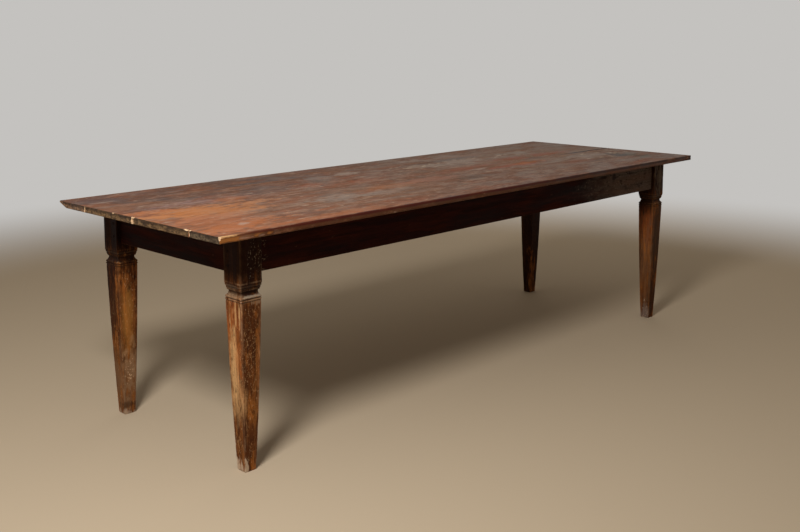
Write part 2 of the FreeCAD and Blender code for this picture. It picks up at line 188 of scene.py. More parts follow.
class Graph:
    """A material's nodes, written as calls that each return an output socket."""

    def __init__(self, name: str) -> None:
        """Starts an empty material.

        Args:
            name: The material's name.
        """
        self.material = bpy.data.materials.new(name)
        self.material.use_nodes = True
        self.nodes = self.material.node_tree.nodes
        self.links = self.material.node_tree.links
        self.nodes.clear()

    def feed(self, socket: Socket, value: Union[Socket, float, tuple]) -> None:
        """Links a socket to another, or sets its value.

        Args:
            socket: The input to set.
            value: An output socket, or a plain value.
        """
        if isinstance(value, Socket):
            self.links.new(value, socket)
        elif socket.type == "RGBA":
            socket.default_value = (*value, 1.0)
        else:
            socket.default_value = value

    def add(self, kind: str, inputs: dict, **settings: object) -> bpy.types.Node:
        """Adds a node.

        Args:
            kind: The node's type name.
            inputs: Values or sockets by input name or index.
            settings: The node's own properties.

        Returns:
            The new node.
        """
        node = self.nodes.new(kind)
        for name, value in settings.items():
            setattr(node, name, value)
        for name, value in inputs.items():
            self.feed(node.inputs[name], value)
        return node

    def point(self) -> Socket:
        """The place on the piece, in metres."""
        return self.add("ShaderNodeTexCoord", {}).outputs["Object"]

    def mark(self, kind: Mark) -> Socket:
        """A mark that the mesh carries, or 0 where it has none."""
        return self.add("ShaderNodeAttribute", {}, attribute_name=kind.value).outputs["Fac"]

    def mapped(self, point: Socket, scales: Triple, shift: Triple = NO_SHIFT) -> Socket:
        """A place scaled and then shifted along each axis."""
        node = self.add("ShaderNodeMapping", {"Vector": point, "Scale": scales, "Location": shift})
        return node.outputs["Vector"]

    def length(self, point: Socket) -> Socket:
        """How far a place is from the origin."""
        return self.add("ShaderNodeVectorMath", {0: point}, operation="LENGTH").outputs["Value"]

    def noise(
        self, point: Socket, scales: Triple, detail: float, roughness: float, shift: Triple = NO_SHIFT
    ) -> Socket:
        """Soft random values, mostly between 0.25 and 0.75.

        Args:
            point: The place.
            scales: Swings in a metre along each axis.
            detail: How many finer layers there are.
            roughness: How strong the finer layers are, from 0 to 1.
            shift: Moves the pattern.

        Returns:
            The values.
        """
        inputs = {"Vector": self.mapped(point, scales, shift), "Scale": 1.0}
        inputs.update({"Detail": detail, "Roughness": roughness})
        return self.add("ShaderNodeTexNoise", inputs).outputs["Fac"]

    def warped(self, point: Socket, scale: float, amount: float) -> Socket:
        """A place pushed about by soft noise.

        Args:
            point: The place.
            scale: How many swings the push makes in a metre.
            amount: How far it pushes, in metres.

        Returns:
            The pushed place.
        """
        middle = (NOISE_MIDDLE, NOISE_MIDDLE, NOISE_MIDDLE)
        push = self.add("ShaderNodeTexNoise", {"Vector": point, "Scale": scale, "Detail": 3.0})
        inputs = {0: push.outputs["Color"], 1: middle}
        swing = self.add("ShaderNodeVectorMath", inputs, operation="SUBTRACT").outputs[0]
        scaled = self.add("ShaderNodeVectorMath", {0: swing, "Scale": amount}, operation="SCALE")
        added = self.add("ShaderNodeVectorMath", {0: point, 1: scaled.outputs[0]}, operation="ADD")
        return added.outputs[0]

    def math(self, operation: str, first: Value, second: Value) -> Socket:
        """Two values combined, with the operation in the node's own word."""
        return self.add("ShaderNodeMath", {0: first, 1: second}, operation=operation).outputs[0]

    def plus(self, first: Value, second: Value) -> Socket:
        """The sum of two values."""
        return self.math("ADD", first, second)

    def minus(self, first: Value, second: Value) -> Socket:
        """The difference of two values."""
        return self.math("SUBTRACT", first, second)

    def times(self, first: Value, second: Value) -> Socket:
        """The product of two values."""
        return self.math("MULTIPLY", first, second)

    def span(self, value: Value, start: float, end: float, low: float = 0.0, high: float = 1.0) -> Socket:
        """A value moved smoothly from one span to another, and held at its ends.

        Args:
            value: The value.
            start: Where the old span starts; it may be above its end.
            end: Where the old span ends.
            low: Where the new span starts.
            high: Where the new span ends.

        Returns:
            The moved value.
        """
        if start > end:
            start, end, low, high = end, start, high, low
        inputs = {"Value": value, "From Min": start, "From Max": end, "To Min": low, "To Max": high}
        node = self.add("ShaderNodeMapRange", inputs, interpolation_type="SMOOTHSTEP")
        return node.outputs["Result"]

    def swing(self, value: Socket, half: float, amount: float) -> Socket:
        """Noise turned into a swing about 0, which is full at half a span from its middle."""
        return self.span(value, NOISE_MIDDLE - half, NOISE_MIDDLE + half, -amount, amount)

    def mix(self, share: Value, first: Paint, second: Paint) -> Socket:
        """Two colours mixed.

        Args:
            share: How much of the second colour shows.
            first: The first colour.
            second: The second colour.

        Returns:
            The mixed colour.
        """
        # The inputs for numbers and for colours share their names, so they go by index.
        inputs = {0: share, 6: first, 7: second}
        return self.add("ShaderNodeMix", inputs, data_type="RGBA").outputs[2]

    def ramp(self, value: Socket, stops: list[tuple[float, Triple]]) -> Socket:
        """A colour picked by a value.

        Args:
            value: The value.
            stops: Places from 0 to 1, each with its colour.

        Returns:
            The colour.
        """
        node = self.add("ShaderNodeValToRGB", {"Fac": value})
        row = node.color_ramp.elements
        row[0].position, row[0].color = stops[0][0], (*stops[0][1], 1.0)
        row[1].position, row[1].color = stops[-1][0], (*stops[-1][1], 1.0)
        for place, colour in stops[1:-1]:
            row.new(place).color = (*colour, 1.0)
        return node.outputs["Color"]

    def close(self, inputs: dict, height: Socket, strength: float, depth: float) -> bpy.types.Material:
        """Ends the material with a surface shader.

        Args:
            inputs: The shader's values or sockets by input name.
            height: Its bumps.
            strength: How strongly the bumps show, from 0 to 1.
            depth: How deep they are, in metres.

        Returns:
            The finished material.
        """
        bump = self.add("ShaderNodeBump", {"Height": height, "Strength": strength, "Distance": depth})
        shader = self.add("ShaderNodeBsdfPrincipled", {**inputs, "Normal": bump.outputs["Normal"]})
        self.add("ShaderNodeOutputMaterial", {"Surface": shader.outputs[0]})
        return self.material


@dataclass(frozen=True)
class Pattern:
    """Noise that is drawn out along the fibres.

    Attributes:
        along: Swings in a metre along the fibres.
        across: Swings in a metre across them.
        detail: How many finer layers it has.
        roughness: How strong the finer layers are, from 0 to 1.
    """

    along: float
    across: float
    detail: float
    roughness: float


FIBRES = Pattern(along=9.0, across=330.0, detail=3.0, roughness=0.6)
PORES = Pattern(along=60.0, across=1300.0, detail=1.0, roughness=0.5)
TEARS = Pattern(along=26.0, across=60.0, detail=4.0, roughness=0.62)
# Swings in a metre along each axis
SAW_MARKS: Triple = (200.0, 110.0, 190.0)
SOIL: Triple = (40.0, 42.0, 90.0)


@dataclass(frozen=True)
class Wash:
    """One uneven layer of colour on wood.

    Attributes:
        colour: Its colour.
        along: Swings in a metre along the fibres.
        across: Swings in a metre across them.
        start: Noise value where it starts to show.
        full: Noise value where it shows fully.
        strength: How much it hides, from 0 to 1.
    """

    colour: Triple
    along: float
    across: float
    start: float
    full: float
    strength: float


@dataclass(frozen=True)
class WoodFinish:
    """Old stained wood: stains, scuffs, fibres, pores, rubbed arrises, chips and end grain.

    Attributes:
        deep: Colour of the darkest stain.
        body: Usual colour.
        faded: Colour where the stain has gone.
        rubbed: Colour of rubbed arrises.
        fresh: Colour of chips.
        end_grain: Colour of cut ends.
        under: Colour of faces that nobody finished.
        grain: Which way the fibres run.
        tone: Swings of the usual colour in a metre, along and across the fibres.
        stains: Layers under the piece's own patches.
        scuffs: Layers over them.
        streak: Width of the broad streaks, in metres.
        contrast: How strongly the fibres show, from 0 to 1.
        gloss: Roughness where it is waxed, and where it is bare.
        shine: How strongly it reflects; 0.5 is a full coat of wax.
        rubbing: How strongly the arrises are rubbed, from 0 to 1.
        dirt_and_shade: Colour of what has settled in hollows, and of the painted shade in the legs'
            necks.
    """

    deep: Triple
    body: Triple
    faded: Triple
    rubbed: Triple
    fresh: Triple
    end_grain: Triple
    under: Triple
    grain: Grain
    tone: Pair
    stains: tuple[Wash, ...] = ()
    scuffs: tuple[Wash, ...] = ()
    streak: float = 0.02
    contrast: float = 0.5
    gloss: Pair = (0.4, 0.62)
    shine: float = 0.3
    rubbing: float = 0.5
    dirt_and_shade: Triple = shade(36, 20, 12)

    def material(self, name: str, seed: float, patches: list[Patch]) -> bpy.types.Material:
        """Makes the material of one piece.

        Args:
            name: The material's name.
            seed: Moves the pattern, so that no two pieces are alike.
            patches: The piece's own stains and rubbed places.

        Returns:
            The material.
        """
        bump_strength, bump_depth = 0.25, 0.0006
        chip_dullness, line_height = 0.5, 0.5
        dull_noise, pore_noise = (0.36, 0.66), (0.6, 0.8)
        graph = WoodGraph(name, self, seed)
        colour = graph.marked(graph.coated(patches))
        dull = graph.plus(graph.blotch, graph.times(graph.mark(Mark.CHIP), chip_dullness))
        rough = graph.span(dull, *dull_noise, *self.gloss)
        height = graph.minus(graph.times(graph.lines, line_height), graph.span(graph.pore, *pore_noise))
        inputs = {"Base Color": colour, "Roughness": rough, "Specular IOR Level": self.shine}
        return graph.close(inputs, height, bump_strength, bump_depth)


class WoodGraph(Graph):
    """The nodes of one wooden piece: its noise, and the colours that are drawn with it."""

    def __init__(self, name: str, wood: WoodFinish, seed: float) -> None:
        """Lays out the noise of the piece.

        Args:
            name: The material's name.
            wood: The piece's finish.
            seed: Moves the noise, so that no two pieces are alike.
        """
        super().__init__(name)
        streak_length = 25
        wander, wander_swings = 0.016, 6.0
        seed_steps = (3.7, 2.3, 5.1)
        broad_swing, fine_swing = (0.14, 0.6), (0.16, 0.4)
        blotch_rag, torn_rag, line_rag = (0.16, 0.8), (0.18, 0.6), 0.4
        across = 1 / wood.streak
        streaks = Pattern(across / streak_length, across, detail=5.0, roughness=0.62)
        fields = Pattern(*wood.tone, detail=6.0, roughness=0.64)
        self.wood = wood
        self.place = self.point()
        self.moved = self.mapped(self.place, (1.0, 1.0, 1.0), tuple(seed * step for step in seed_steps))
        self.bent = self.warped(self.moved, wander_swings, wander)
        self.broad = self.grown(self.bent, streaks)
        self.fine = self.grown(self.bent, FIBRES)
        self.blotch = self.grown(self.bent, fields)
        self.pore = self.grown(self.moved, PORES)
        self.lines = self.plus(self.swing(self.broad, *broad_swing), self.swing(self.fine, *fine_swing))
        rag = self.plus(self.swing(self.blotch, *blotch_rag), self.times(self.lines, line_rag))
        self.rag = self.plus(rag, self.swing(self.grown(self.bent, TEARS), *torn_rag))

    def grown(self, point: Socket, pattern: Pattern, shift: Triple = NO_SHIFT) -> Socket:
        """Noise that follows the fibres.

        Args:
            point: The place on the piece.
            pattern: How it is drawn out.
            shift: Moves the pattern.

        Returns:
            The values.
        """
        scales = [pattern.across] * 3
        scales[self.wood.grain.value] = pattern.along
        return self.noise(point, tuple(scales), pattern.detail, pattern.roughness, shift)

    def washed(self, point: Socket, colour: Socket, washes: tuple[Wash, ...]) -> Socket:
        """Lays uneven layers over a colour.

        Args:
            point: The place on the piece.
            colour: The colour under them.
            washes: The layers in order.

        Returns:
            The colour with the layers.
        """
        starts, steps = (1.3, 0.7, 2.9), (3.1, 7.7, 5.3)
        for index, wash in enumerate(washes):
            shift = tuple(step * index + start for step, start in zip(steps, starts))
            spread = self.grown(point, Pattern(wash.along, wash.across, detail=5.0, roughness=0.6), shift)
            share = self.span(spread, wash.start, wash.full, 0.0, wash.strength)
            colour = self.mix(share, colour, wash.colour)
        return colour

    def patched(self, colour: Socket, patches: list[Patch]) -> Socket:
        """Lays the piece's own stains and rubbed places over a colour.

        Args:
            colour: The colour under them.
            patches: The places.

        Returns:
            The colour with the patches.
        """
        outline, speck_stretch, speck_noise = 0.9, 0.6, (0.58, 0.67)
        for patch in patches:
            scales = tuple(1 / reach for reach in patch.reach)
            shift = tuple(-place / reach for place, reach in zip(patch.place, patch.reach))
            distance = self.length(self.mapped(self.place, scales, shift))
            ragged = self.plus(distance, self.times(self.rag, patch.fray))
            rim = patch.soft / 2
            mask = self.span(ragged, outline + rim, outline - rim, 0.0, patch.strength)
            if patch.specks:
                specks = Pattern(patch.specks * speck_stretch, patch.specks, detail=2.0, roughness=0.5)
                mask = self.times(mask, self.span(self.grown(self.place, specks), *speck_noise))
            colour = self.mix(mask, colour, patch.tone.value)
        return colour

    def coated(self, patches: list[Patch]) -> Socket:
        """The colour of stained faces, with their patches, scuffs, fibres and pores.

        Args:
            patches: The piece's own stains and rubbed places.

        Returns:
            The colour.
        """
        wood = self.wood
        fields = [(0.34, wood.deep), (0.5, wood.body), (0.64, wood.faded)]
        dark_lines, pale_lines = (0.1, -0.9), (0.2, 0.9)
        pore_noise, pore_strength = (0.66, 0.78), 0.5
        colour = self.washed(self.bent, self.ramp(self.blotch, fields), wood.stains)
        colour = self.patched(colour, [patch for patch in patches if not patch.covers])
        colour = self.washed(self.moved, colour, wood.scuffs)
        colour = self.mix(self.span(self.lines, *dark_lines, 0.0, wood.contrast), colour, wood.deep)
        colour = self.mix(self.span(self.lines, *pale_lines, 0.0, wood.contrast / 2), colour, wood.faded)
        colour = self.mix(self.span(self.pore, *pore_noise, 0.0, pore_strength), colour, wood.deep)
        return self.patched(colour, [patch for patch in patches if patch.covers])

    def sawn(self) -> Socket:
        """The colour of a cut end, with dirt between the saw marks and in larger fields.

        Returns:
            The colour.
        """
        cut_noise, least_clean = (0.36, 0.58), 0.14
        soil_noise, soil_strength = (0.48, 0.62), 0.6
        cut = self.noise(self.moved, SAW_MARKS, detail=4.0, roughness=0.68)
        soil = self.noise(self.moved, SOIL, detail=4.0, roughness=0.62)
        clean = self.span(cut, *cut_noise, least_clean, 1.0)
        colour = self.mix(clean, self.wood.dirt_and_shade, self.wood.end_grain)
        return self.mix(self.span(soil, *soil_noise, 0.0, soil_strength), colour, self.wood.dirt_and_shade)

    def marked(self, colour: Socket) -> Socket:
        """Adds what the marks say: raw undersides, rubbed arrises, cut ends, dirt with painted shade in
        the legs' necks, and chips.

        Args:
            colour: The colour of stained faces.

        Returns:
            The colour with the marks.
        """
        wood = self.wood
        raw_noise, bare_noise, least_bare = (0.3, 0.7), (0.36, 0.62), 0.1
        dirt_and_shade_noise, least_dirt_and_shade = (0.3, 0.6), 0.7
        chip_noise, chip_stain = (0.3, 0.7), 0.35
        raw = self.mix(self.span(self.broad, *raw_noise), wood.under, wood.deep)
        colour = self.mix(self.mark(Mark.UNDER), colour, raw)
        patchy = self.plus(self.fine, self.minus(self.blotch, NOISE_MIDDLE))
        worn = self.times(self.mark(Mark.WORN), self.span(patchy, *bare_noise, least_bare, 1.0))
        colour = self.mix(self.times(worn, wood.rubbing), colour, wood.rubbed)
        colour = self.mix(self.mark(Mark.END), colour, self.sawn())
        # Hollows get darker: dirt in the grooves and on cut ends, and dirt with painted shade in the
        # legs' necks
        dirt_and_shade_share = self.span(self.blotch, *dirt_and_shade_noise, 1.0, least_dirt_and_shade)
        colour = self.mix(self.times(self.mark(Mark.HOLLOW), dirt_and_shade_share), colour, wood.dirt_and_shade)
        broken = self.mix(self.span(self.fine, *chip_noise, 0.0, chip_stain), wood.fresh, wood.body)
        return self.mix(self.mark(Mark.CHIP), colour, broken)


TOP_FINISH = WoodFinish(
    deep=shade(76, 44, 29),
    body=shade(114, 71, 47),
    faded=shade(136, 93, 68),
    rubbed=shade(150, 86, 50),
    fresh=Tone.BARE.value,
    end_grain=shade(126, 96, 66),
    under=shade(120, 88, 60),
    grain=Grain.ALONG,
    tone=(5.5, 12.0),
    stains=(
        Wash(shade(150, 80, 46), 5.0, 11.0, 0.46, 0.68, 0.5),
        Wash(shade(152, 124, 106), 7.0, 15.0, 0.46, 0.68, 0.55),
        Wash(shade(74, 43, 30), 9.0, 22.0, 0.5, 0.7, 0.4),
    ),
    scuffs=(
        Wash(shade(182, 152, 130), 13.0, 46.0, 0.55, 0.72, 0.55),
        Wash(shade(160, 86, 44), 11.0, 46.0, 0.55, 0.74, 0.45),
        Wash(shade(60, 33, 23), 12.0, 70.0, 0.55, 0.74, 0.5),
        Wash(shade(206, 180, 158), 24.0, 66.0, 0.6, 0.7, 0.45),
        Wash(shade(190, 162, 138), 20.0, 80.0, 0.57, 0.69, 0.45),
        Wash(shade(62, 33, 24), 17.0, 76.0, 0.56, 0.69, 0.5),
        Wash(shade(178, 98, 48), 15.0, 64.0, 0.58, 0.7, 0.4),
    ),
    streak=0.014,
    contrast=0.44,
    gloss=(0.46, 0.66),
    shine=0.19,
    rubbing=0.2,
)
LEG_FINISH = WoodFinish(
    deep=shade(48, 22, 8),
    body=shade(94, 50, 20),
    faded=shade(144, 88, 42),
    rubbed=shade(160, 118, 78),
    fresh=Tone.BLEACHED.value,
    end_grain=shade(120, 96, 72),
    under=shade(110, 80, 54),
    grain=Grain.UPRIGHT,
    tone=(4.0, 26.0),
    stains=(
        Wash(shade(164, 96, 40), 5.0, 60.0, 0.5, 0.62, 0.6),
        Wash(shade(50, 22, 9), 6.0, 90.0, 0.5, 0.64, 0.5),
    ),
    scuffs=(
        Wash(shade(184, 136, 86), 40.0, 120.0, 0.57, 0.68, 0.45),
        Wash(shade(36, 17, 7), 36.0, 110.0, 0.55, 0.66, 0.5),
        Wash(shade(214, 176, 130), 90.0, 200.0, 0.6, 0.68, 0.5),
        Wash(shade(34, 15, 6), 80.0, 190.0, 0.58, 0.67, 0.55),
    ),
    streak=0.009,
    contrast=0.45,
    gloss=(0.5, 0.72),
    shine=0.06,
    rubbing=0.6,
)
APRON_FINISH = WoodFinish(
    deep=shade(22, 6, 4),
    body=shade(40, 12, 7),
    faded=shade(60, 24, 14),
    rubbed=shade(84, 50, 32),
    fresh=Tone.BLEACHED.value,
    end_grain=shade(90, 66, 48),
    under=shade(96, 68, 46),
    grain=Grain.ALONG,
    tone=(2.0, 14.0),
    stains=(
        Wash(shade(66, 26, 15), 3.0, 30.0, 0.5, 0.66, 0.5),
        Wash(shade(18, 6, 4), 4.0, 44.0, 0.5, 0.66, 0.6),
    ),
    scuffs=(Wash(shade(110, 86, 68), 55.0, 90.0, 0.66, 0.74, 0.25),),
    streak=0.016,
    contrast=0.5,
    gloss=(0.6, 0.8),
    shine=0.05,
    rubbing=0.25,
)


def graded(low: float, high: float, fine: float, coarse: float, reach: float) -> list[float]:
    """Places of grid lines between two faces, close together near both.

    Args:
        low: The first face.
        high: The last face.
        fine: Spacing beside the faces.
        coarse: Widest spacing between them.
        reach: How far from a face the fine spacing goes.

    Returns:
        The places, with both faces.
    """
    growth = 1.25
    half = (high - low) / 2
    marks = [0.0]
    step = fine
    while marks[-1] + step < half:
        marks.append(marks[-1] + step)
        if marks[-1] > reach:
            step = min(coarse, step * growth)
    return [low + mark for mark in marks] + [high - mark for mark in reversed(marks)]


def grid_block(lines: list[list[float]]) -> Block:
    """A block whose faces are grids.

    Args:
        lines: For X, Y and Z in turn, the places of the grid lines from face to face.

    Returns:
        The block.
    """
    half = 0.5
    block = bmesh.new()
    bmesh.ops.create_cube(block, size=2 * half)
    for axis, places in enumerate(lines):
        whole = []
        for edge in block.edges:
            start, end = edge.verts
            if abs(start.co[axis] - end.co[axis]) > half:
                whole.append(edge)
        bmesh.ops.subdivide_edges(block, edges=whole, cuts=len(places) - 2, use_grid_fill=True)
    for vert in block.verts:
        for axis, places in enumerate(lines):
            vert.co[axis] = places[round((vert.co[axis] + half) * (len(places) - 1))]
    return block


def wobble(point: Vector, swings: float, seed: float, axis: int = 0) -> float:
    """A soft random value from -1 to 1.

    Args:
        point: The place.
        swings: How many swings it makes in a metre.
        seed: Moves the pattern.
        axis: The axis that the seed moves it along.

    Returns:
        The value at the place.
    """
    shift = Vector(NO_SHIFT)
    shift[axis] = seed
    return noise.noise(point * swings + shift)


def rounded(point: Vector, low: Sequence[float], high: Sequence[float], radius: float) -> Vector:
    """Moves a place on a sharp block to where the block is when its arrises are round.

    Args:
        point: The place.
        low: The block's lowest corner.
        high: The block's highest corner.
        radius: How round the arrises are.

    Returns:
        The moved place.
    """
    limits = zip(point, low, high)
    inner = Vector([min(max(part, least + radius), most - radius) for part, least, most in limits])
    out = point - inner
    return inner + out * (radius / out.length) if out.length > radius else point


@dataclass(frozen=True)
class Chip:
    """A piece of wood broken away from an arris.

    Attributes:
        place: Middle of the break, on the arris.
        outward: Direction that the broken face looks in.
        reach: How far the break spreads along each axis.
        depth: How deep it goes at its middle.
        fresh: How pale the broken face is, from 0 to 1.
    """

    place: Triple
    outward: Triple
    reach: Triple
    depth: float
    fresh: float = 1.0

    def strike(self, block: Block, seed: float) -> None:
        """Breaks the chip out of a block.

        Args:
            block: The block to change.
            seed: Changes the break's roughness.
        """
        rag_swings, usual, spread = 240, 0.8, 0.5
        pale_depth = 0.0006
        layer = block.verts.layers.float[Mark.CHIP.value]
        outward = Vector(self.outward).normalized()
        place = Vector(self.place)
        for vert in block.verts:
            offset = vert.co - place
            if any(abs(part) > reach for part, reach in zip(offset, self.reach)):
                continue
            share = sum((part / reach) ** 2 for part, reach in zip(offset, self.reach))
            if share >= 1:
                continue
            rag = usual + spread * wobble(vert.co, rag_swings, seed)
            over = offset.dot(outward) + self.depth * (1 - share) * rag
            if over > 0:
                vert.co -= outward * over
                vert[layer] = max(vert[layer], self.fresh * min(1.0, over / pale_depth))


def refined(places: list[float], chips: list[Chip], axis: int, fine: float) -> list[float]:
    """Adds close grid lines where chips are broken out.

    Args:
        places: Grid lines along an axis.
        chips: The chips.
        axis: The axis.
        fine: Spacing of the lines in a chip.

    Returns:
        All the lines in order.
    """
    closest = fine * 0.4
    added = []
    for chip in chips:
        count = math.ceil(chip.reach[axis] / fine)
        added += [chip.place[axis] + index * fine for index in range(-count, count + 1)]
    kept = list(places)
    for place in sorted(added):
        inside = places[0] < place < places[-1]
        if inside and min(abs(place - other) for other in kept) > closest:
            kept.append(place)
    return sorted(kept)


def stand(name: str, shape: Block, material: bpy.types.Material) -> bpy.types.Object:
    """Makes an object of a finished shape, at the origin.

    Args:
        name: The object's name.
        shape: The shape, which is used up.
        material: Its finish.

    Returns:
        The object.
    """
    mesh = bpy.data.meshes.new(name)
    shape.to_mesh(mesh)
    shape.free()
    mesh.polygons.foreach_set("use_smooth", [True] * len(mesh.polygons))
    mesh.materials.append(material)
    made = bpy.data.objects.new(name, mesh)
    bpy.context.scene.collection.objects.link(made)
    return made


@dataclass
class Piece:
    """What boards, aprons and legs share: a marked mesh that stands for a node of the frame.

    Attributes:
        node: The node of the frame that it stands for.
        slot: Name of its material slot; it is not used.
        seed: Keeps its wear and grain its own.
        wood: Its finish.
        patches: Its stains and rubbed places.
        chips: What has broken off it.
    """

    node: str
    slot: str
    seed: float
    wood: WoodFinish
    patches: list[Patch]
    chips: list[Chip]

    def mesh(self) -> Block:
        """The piece's finished shape, with its marks."""
        raise NotImplementedError

    def placed(self) -> list[Patch]:
        """The patches where they lie on the table."""
        return self.patches

    def strike(self, block: Block) -> None:
        """Breaks every chip out of a block."""
        for index, chip in enumerate(self.chips):
            chip.strike(block, self.seed + index)

    def build(self) -> None:
        """Makes the piece, gives it its finish and puts it in the place of its node."""
        sharp = math.radians(40)
        material = self.wood.material(f"wood_of_{self.node}", self.seed, self.placed())
        piece = stand(f"worn_{self.node}", self.mesh(), material)
        piece.data.set_sharp_from_angle(angle=sharp)
        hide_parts(self.node)
        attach(piece, BODY)
        LOG.info("%s: %d faces", piece.name, len(piece.data.polygons))


class Group:
    """Pieces of one kind that are made together."""

    def pieces(self) -> list[Piece]:
        """The pieces in order."""
        raise NotImplementedError

    def build(self) -> None:
        """Makes every piece."""
        for piece in self.pieces():
            piece.build()


def add_marks(block: Block) -> dict[Mark, bmesh.types.BMLayerItem]:
    """Gives a block an empty layer for each mark.

    Args:
        block: The block.

    Returns:
        The layers.
    """
    layers = block.verts.layers.float
    for kind in Mark:
        layers.new(kind.value)
    return {kind: layers[kind.value] for kind in Mark}


@dataclass(frozen=True)
class Arris:
    """How round the two arrises of one side are, and how ragged.

    Attributes:
        upper: Radius of the upper one.
        lower: Radius of the lower one.
        rag: How much the radius varies along it, from 0 to 1.
    """

    upper: float
    lower: float
    rag: float


JOINT = Arris(upper=0.0006, lower=0.0005, rag=0.7)
FRONT = Arris(upper=0.003, lower=0.005, rag=0.45)
BACK = Arris(upper=0.0016, lower=0.002, rag=0.6)
SAWN_END = Arris(upper=0.0022, lower=0.0022, rag=0.7)
RAIL = Arris(upper=0.0008, lower=0.0022, rag=0.6)


@dataclass
class Plank(Piece):
    """A straight board with worn arrises.

    Attributes:
        low: Its lowest corner.
        high: Its highest corner.
        sides: Arrises of its two long sides, the one at the lower place first.
        ends: Arrises of its two ends.
        long_axis: The axis that it runs along.
        fine: Spacing of its grid beside the arrises.
        coarse: Widest spacing of its grid.
        reach: How far from a face the fine spacing goes.
        rub: How far rubbing reaches from an arris.
        stained: How far stain has run down its ends.
    """

    low: Vector
    high: Vector
    sides: tuple[Arris, Arris]
    ends: Arris
    long_axis: Grain
    fine: float = 0.0008
    coarse: float = 0.009
    reach: float = 0.004
    rub: float = 0.006
    stained: float = 0.0105

    def gap(self, point: Vector, axis: int) -> float:
        """How far a place is from the nearer of the two faces of an axis."""
        return min(point[axis] - self.low[axis], self.high[axis] - point[axis])

    def radius(self, point: Vector) -> float:
        """How round the nearest arris is.

        Args:
            point: A place on the sharp board.

        Returns:
            The radius there.
        """
        wide_swings, fine_swings, fine_share, least = 34, 110, 0.5, 0.25
        along = self.long_axis.value
        across = 1 - along
        middle = (self.low + self.high) / 2
        side = self.sides[0] if point[across] < middle[across] else self.sides[1]
        to_side, to_end = self.gap(point, across), self.gap(point, along)
        share = to_end / (to_side + to_end + NO_ZERO)
        upper = point.z > middle.z
        side_radius = side.upper if upper else side.lower
        end_radius = self.ends.upper if upper else self.ends.lower
        rag = self.ends.rag + (side.rag - self.ends.rag) * share
        swing = wobble(point, wide_swings, self.seed)
        swing += fine_share * wobble(point, fine_swings, self.seed, 1)
        return (end_radius + (side_radius - end_radius) * share) * max(least, 1 + rag * swing)

    def soaked(self, point: Vector) -> float:
        """How much stain has run down an end.

        Args:
            point: A place on the end.

        Returns:
            The share, from 0 to 1.
        """
        drip_swings, spread, full = 60, 0.9, 1.5
        drip = self.stained * (1 + spread * wobble(point, drip_swings, self.seed))
        return max(0.0, min(1.0, full - (self.high.z - point.z) / drip))

    def soften(self, block: Block) -> None:
        """Rounds the arrises and marks rubbed arrises, ends, stains and the underside.

        Args:
            block: The sharp board.
        """
        patch_swings, usual, spread = 22, 0.55, 0.9
        darkest = 0.9
        marks = add_marks(block)
        for vert in block.verts:
            point = vert.co.copy()
            near = sorted(self.gap(point, axis) for axis in range(3))[1]
            patchy = usual + spread * wobble(point, patch_swings, self.seed, 2)
            at_end = self.gap(point, self.long_axis.value) < TOUCH
            vert[marks[Mark.WORN]] = max(0.0, math.exp(-near / self.rub) * patchy)
            vert[marks[Mark.END]] = 1.0 if at_end else 0.0
            vert[marks[Mark.HOLLOW]] = darkest * self.soaked(point) if at_end else 0.0
            vert[marks[Mark.UNDER]] = 1.0 if point.z - self.low.z < TOUCH else 0.0
            vert.co = rounded(point, self.low, self.high, self.radius(point))

    def shape(self, block: Block) -> None:
        """Gives the softened board what is its own; a plain board has nothing."""

    def mesh(self) -> Block:
        """The worn board.

        Returns:
            Its finished shape, with its marks.
        """
        chip_spacing = self.fine * 1.5
        lines = []
        for axis in range(3):
            places = graded(self.low[axis], self.high[axis], self.fine, self.coarse, self.reach)
            lines.append(refined(places, self.chips, axis, chip_spacing))
        block = grid_block(lines)
        self.soften(block)
        self.shape(block)
        self.strike(block)
        return block


@dataclass
class BevelledPlank(Plank):
    """The back board of the top, whose far edge is thinned from below.

    Attributes:
        bevel_width: How far in the slope starts.
        bevel_height: How much it thins the edge.
    """

    bevel_width: float = 0.044
    bevel_height: float = 0.017

    def shape(self, block: Block) -> None:
        """Raises the underside towards the far edge.

        Args:
            block: The softened board.
        """
        thickness = self.high.z - self.low.z
        start = self.high.y - self.bevel_width
        for vert in block.verts:
            if vert.co.y > start:
                rise = self.bevel_height * (vert.co.y - start) / self.bevel_width
                share = (self.high.z - vert.co.z) / thickness
                vert.co.z += rise * share


@dataclass
class PartedPlank(Plank):
    """A middle board whose joint has opened towards the far end.

    Attributes:
        parted_side: Place of the side that has drawn back.
        parted_from: Where along the table the joint starts to open.
        parted_by: How far the side has drawn back at the end.
        spread: How far into the board it has drawn the wood along.
    """

    parted_side: float = 0.0
    parted_from: float = 0.98
    parted_by: float = 0.0024
    spread: float = 0.05

    def shape(self, block: Block) -> None:
        """Draws the side back.

        Args:
            block: The softened board.
        """
        fully_open = 0.5
        inward = math.copysign(1.0, (self.low.y + self.high.y) / 2 - self.parted_side)
        for vert in block.verts:
            share = (vert.co.x - self.parted_from) / (self.high.x - self.parted_from)
            near = 1 - abs(vert.co.y - self.parted_side) / self.spread
            if share > 0 and near > 0:
                vert.co.y += inward * self.parted_by * min(1.0, share / fully_open) * near


@dataclass(frozen=True)
class Groove:
    """A small hollow that runs round a leg.

    Attributes:
        height: Height of its middle.
        width: Its width.
        depth: Its depth.
    """

    height: float
    width: float
    depth: float

    def cut(self, height: float) -> float:
        """How much it takes off at a height."""
        share = abs(height - self.height) / (self.width / 2)
        return self.depth * max(0.0, 1 - share * share)


